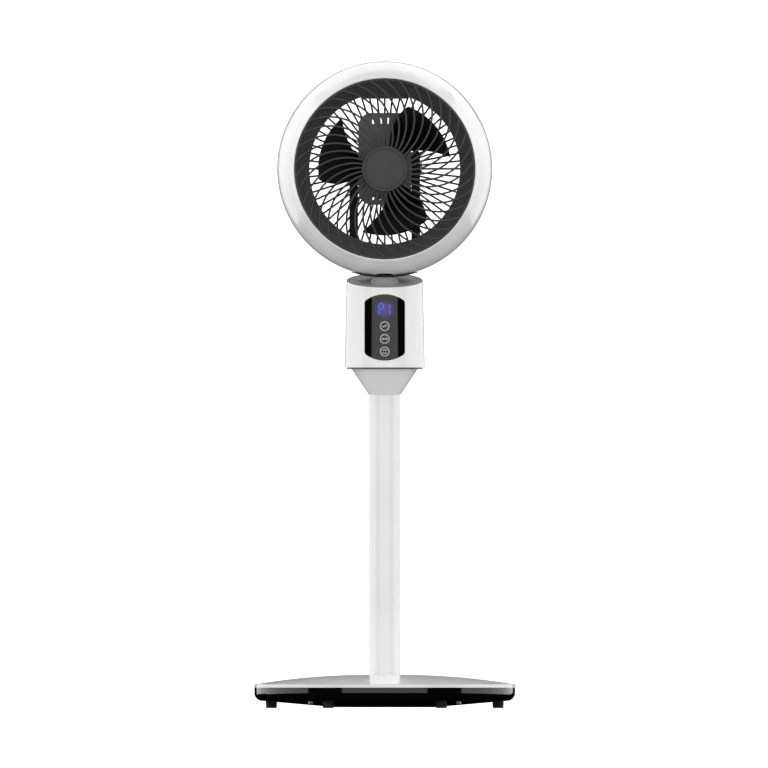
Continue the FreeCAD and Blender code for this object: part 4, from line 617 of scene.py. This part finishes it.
def ribs(line, beside, level, half_width, half_depth, count, corners=12):
    """Ribs round the head's axis: a rounded bar section carried along a line (across, up) at a level that
    varies, then turned through the full circle. The section is a squarish ring: cosine and sine to a power
    of one half."""
    a = np.linspace(0, 2 * np.pi, corners, endpoint=False) + np.pi / corners
    wide = np.sign(np.cos(a)) * np.abs(np.cos(a)) ** 0.5
    deep = np.sign(np.sin(a)) * np.abs(np.sin(a)) ** 0.5
    grow = np.ones(len(line))
    grow[[0, -1]] = 0
    flat = line[:, None] + beside[:, None] * (wide[:, None] * half_width * grow[:, None, None])
    lift = level[:, None] + deep * half_depth * grow[:, None]
    grids = []
    for angle in np.linspace(0, 2 * np.pi, count, endpoint=False):
        across = flat[..., 0] * np.cos(angle) - flat[..., 1] * np.sin(angle)
        up = flat[..., 0] * np.sin(angle) + flat[..., 1] * np.cos(angle)
        grids.append(np.stack([across, -lift, up], -1) * MM + np.array(HEAD))
    return grids


radius = np.linspace(RIB_START, RIB_END, 24)
radius = np.concatenate([[RIB_START - RIB_CLOSE], radius, [RIB_END + RIB_CLOSE]])
across = (radius ** 2 + RIB_CENTRE ** 2 - RIB_ARC ** 2) / (2 * RIB_CENTRE)
line = np.stack([across, -np.sqrt(radius ** 2 - across ** 2)], -1)
beside = (line - np.array([RIB_CENTRE, 0])) / RIB_ARC
level = dome_front(radius, GRILLE_RIM, GRILLE_RISE, GRILLE_FRONT) - GRILLE_DEPTH / 2
front_ribs = ribs(line, beside, level, RIB_HALF, GRILLE_DEPTH / 2, RIB_COUNT)
hub_front = GRILLE_FRONT + GRILLE_RISE
hub_path = rounded([(HUB_INSIDE, hub_front - HUB_TALL), (HUB_INSIDE, hub_front - HUB_SINK),
                    (GRILLE_HUB, hub_front - HUB_SINK), (GRILLE_HUB, hub_front - HUB_TALL),
                    (HUB_INSIDE, hub_front - HUB_TALL)], [0.3, 0.8, 0.8])
rim_path = rounded([(RIM_INSIDE, RIM_MIDDLE), (RIM_INSIDE, GRILLE_FRONT), (GRILLE_RIM, GRILLE_FRONT),
                    (GRILLE_RIM, RIM_FOOT), (RIM_INSIDE, RIM_FOOT), (RIM_INSIDE, RIM_MIDDLE)],
                   [0.6, 0.6, 0.4, 0.4])
front_rings = [turned(hub_path, 96, HEAD, forward=True), turned(rim_path, 160, HEAD, forward=True)]
piece("front_grille_moulding", front_ribs + front_rings, GRILLE_DARK, "head", "dark_plastic",
      "front_grille", round_v=True)

# ----------------------------------------------------------------- grille cap
# A round dark cap clips over the grille's hub. A fine groove runs round its
# face, close to the edge.

CAP_RADIUS, CAP_DEPTH, CAP_EDGE = 34.6, 5.0, 0.6
CAP_GROOVE = ((30.5, 0.35), (30.1, 0.75), (29.5, 0.75), (29.1, 0.3))
cap_front = hub_front + CAP_DEPTH
cap_path = rounded([(0, hub_front), (CAP_RADIUS, hub_front), (CAP_RADIUS, cap_front - CAP_EDGE)]
                   + [(place, cap_front - sink) for place, sink in CAP_GROOVE] + [(0, cap_front)],
                   [0.4, 1.5, 0.12, 0.12, 0.12, 0.12])
piece("grille_cap", turned(cap_path, 128, HEAD, forward=True), GRILLE_DARK, "head", "dark_plastic", "hub_cap",
      round_v=True)

# ------------------------------------------------------------------ motor pod
# Two dark moulded halves with vent slots hang on the rear grille and hold the
# motor: a zinc can with a cast aluminium end cap, and steel inside.

ALUMINIUM = finish("aluminium", (0.72, 0.73, 0.75), (0.25, 0.4), metal=1.0, scratch=1.5)
dress(DARK_PLASTIC, "pod_front_half", "pod_rear_half")
dress(ZINC, "motor_can")
dress(ALUMINIUM, "motor_endcap")
dress(STEEL, "motor_stator", "motor_bearings", "motor_shaft", "motor_rotor")

# ------------------------------------------------------------------- impeller
# Three wide swept blades and their hub are one black moulding, pushed on the
# motor's shaft and held by a dark nut. Each blade is a thin wing: its section
# thickens in the middle and its tip is rounded off.

FAN_RADIUS, FAN_HUB, BLADE_COUNT, BLADE_BURY = 100.0, 25.0, 3, 1.2
BLADE_ANGLES = {"leading": (48, 26, 10), "trailing": (76, 79.5, 69.5)}
BLADE_REAR, BLADE_REAR_RISE, BLADE_FRONT, BLADE_FRONT_FALL = 33.0, 2.0, 61.0, 6.0
BLADE_LIFT, BLADE_HALF, BLADE_NOSE = 1.0, 0.9, 0.1
FAN_HUB_FRONT, FAN_HUB_REAR, FAN_HUB_INSIDE, FAN_HUB_CROWN, FAN_BORE = 59.9, 34, 22.5, 57, 3


def blade_edge(name, share):
    """Angle of a blade's edge: the parabola through its values at root, middle and tip."""
    root, middle, tip = BLADE_ANGLES[name]
    return root + (4 * middle - 3 * root - tip) * share + 2 * (root + tip - 2 * middle) * share ** 2


def blade(turn, rings=40, around=48):
    """One blade as a closed wing: for each radius a loop that runs over its front face and back over its
    rear face. The lift goes from the rear at the leading edge to the front at the trailing edge with a
    power of 1.25, and the thickness follows a sine that a root brings to nothing at the tip."""
    share = np.linspace(0, 1, rings)[:, None] ** 0.8
    loop = np.linspace(0, 2 * np.pi, around, endpoint=False)[None]
    along = 0.5 - 0.5 * np.cos(loop)
    radius = FAN_HUB - BLADE_BURY + (FAN_RADIUS - FAN_HUB + BLADE_BURY) * share
    rear = BLADE_REAR + BLADE_REAR_RISE * (1 - share)
    front = BLADE_FRONT - BLADE_FRONT_FALL * share
    leading, trailing = blade_edge("leading", share), blade_edge("trailing", share)
    angle = np.radians(leading + (trailing - leading) * along) + turn
    thick = np.sin(loop) * (BLADE_HALF + BLADE_NOSE * np.cos(loop)) * np.sqrt(np.maximum(1 - share ** 24, 0))
    lift = rear + (front - rear) * along ** 1.25 + BLADE_LIFT + thick
    return np.stack([radius * np.cos(angle), -lift, radius * np.sin(angle)], -1) * MM + np.array(HEAD)


fan_hub_path = rounded([(FAN_BORE, FAN_HUB_FRONT), (9, FAN_HUB_FRONT), (FAN_HUB, FAN_HUB_FRONT),
                        (FAN_HUB, FAN_HUB_REAR), (FAN_HUB_INSIDE, FAN_HUB_REAR),
                        (FAN_HUB_INSIDE, FAN_HUB_CROWN), (FAN_BORE, FAN_HUB_CROWN),
                        (FAN_BORE, FAN_HUB_FRONT)], [0.2, 3.5, 0.5, 0.5, 1.0, 0.5])
blades = [blade(turn) for turn in np.arange(BLADE_COUNT) * 2 * np.pi / BLADE_COUNT]
piece("impeller_moulding", blades + [turned(fan_hub_path, 96, HEAD, forward=True)], FAN_BLACK,
      "impeller_assembly", "dark_plastic", "impeller", round_v=True)
dress(DARK_PLASTIC, "spinner_nut")

# ---------------------------------------------------------------- rear grille
# One dark satin moulding: sixty straight ribs on a shallow dome from a round
# plate behind the motor out to a rim. Four screws hold the pod to the plate.

REAR_RISE, REAR_RADIUS, REAR_PLATE, REAR_COUNT = 8.0, 126.0, 46.0, 60
REAR_HALF, REAR_DEEP, REAR_START, REAR_END = 1.45, 1.5, 44.0, 121.0
PLATE_STEP, PLATE_STEP_IN, PLATE_STEP_OUT, PLATE_FRONT = 0.6, 17, 18, 97.5
PLATE_GROOVE = ((36, 0), (36.6, 0.5), (37.6, 0.5), (38.2, 0))
REAR_RIM_IN, REAR_RIM_OUT, REAR_RIM_DEPTH, REAR_LIP = 117.9, 121.9, 5, 1.5
rear_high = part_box("rear_grille")[1]
rear_edge = rear_high.y / MM - REAR_RISE
radius = np.linspace(REAR_START, REAR_END, 10)
radius = np.concatenate([[REAR_START - RIB_CLOSE], radius, [REAR_END + RIB_CLOSE]])
line = np.stack([radius, radius * 0], -1)
beside = np.stack([radius * 0, radius * 0 + 1], -1)
level = REAR_DEEP - dome_front(radius, REAR_RADIUS, REAR_RISE, rear_edge)
rear_ribs = ribs(line, beside, level, REAR_HALF, REAR_DEEP, REAR_COUNT, corners=10)
plate_back = -(rear_edge + REAR_RISE)
plate_path = rounded([(0, plate_back + PLATE_STEP), (PLATE_STEP_IN, plate_back + PLATE_STEP),
                      (PLATE_STEP_OUT, plate_back)]
                     + [(place, plate_back + sink) for place, sink in PLATE_GROOVE]
                     + [(REAR_PLATE, plate_back), (REAR_PLATE, -PLATE_FRONT), (0, -PLATE_FRONT)],
                     [0.3, 0.3, 0.15, 0.15, 0.15, 0.15, 1.2, 0.3])
rear_rim = rear_high.x / MM
lip_back = -(rear_edge + REAR_LIP)
rim_front = -(rear_edge - REAR_RIM_DEPTH)
rim_path = rounded([(REAR_RIM_IN, rim_front), (REAR_RIM_IN, lip_back), (rear_rim - REAR_LIP, lip_back),
                    (rear_rim, -rear_edge), (REAR_RIM_OUT, -rear_edge), (REAR_RIM_OUT, rim_front),
                    (REAR_RIM_IN, rim_front)], [0.5, 0.6, 0.3, 0.1, 0.4])
rear_rings = [turned(plate_path, 96, HEAD, forward=True), turned(rim_path, 160, HEAD, forward=True)]
piece("rear_grille_moulding", rear_ribs + rear_rings, GRILLE_DARK, "head", "dark_plastic",
      "rear_grille", round_v=True)
dress(ZINC, "rear_screws")
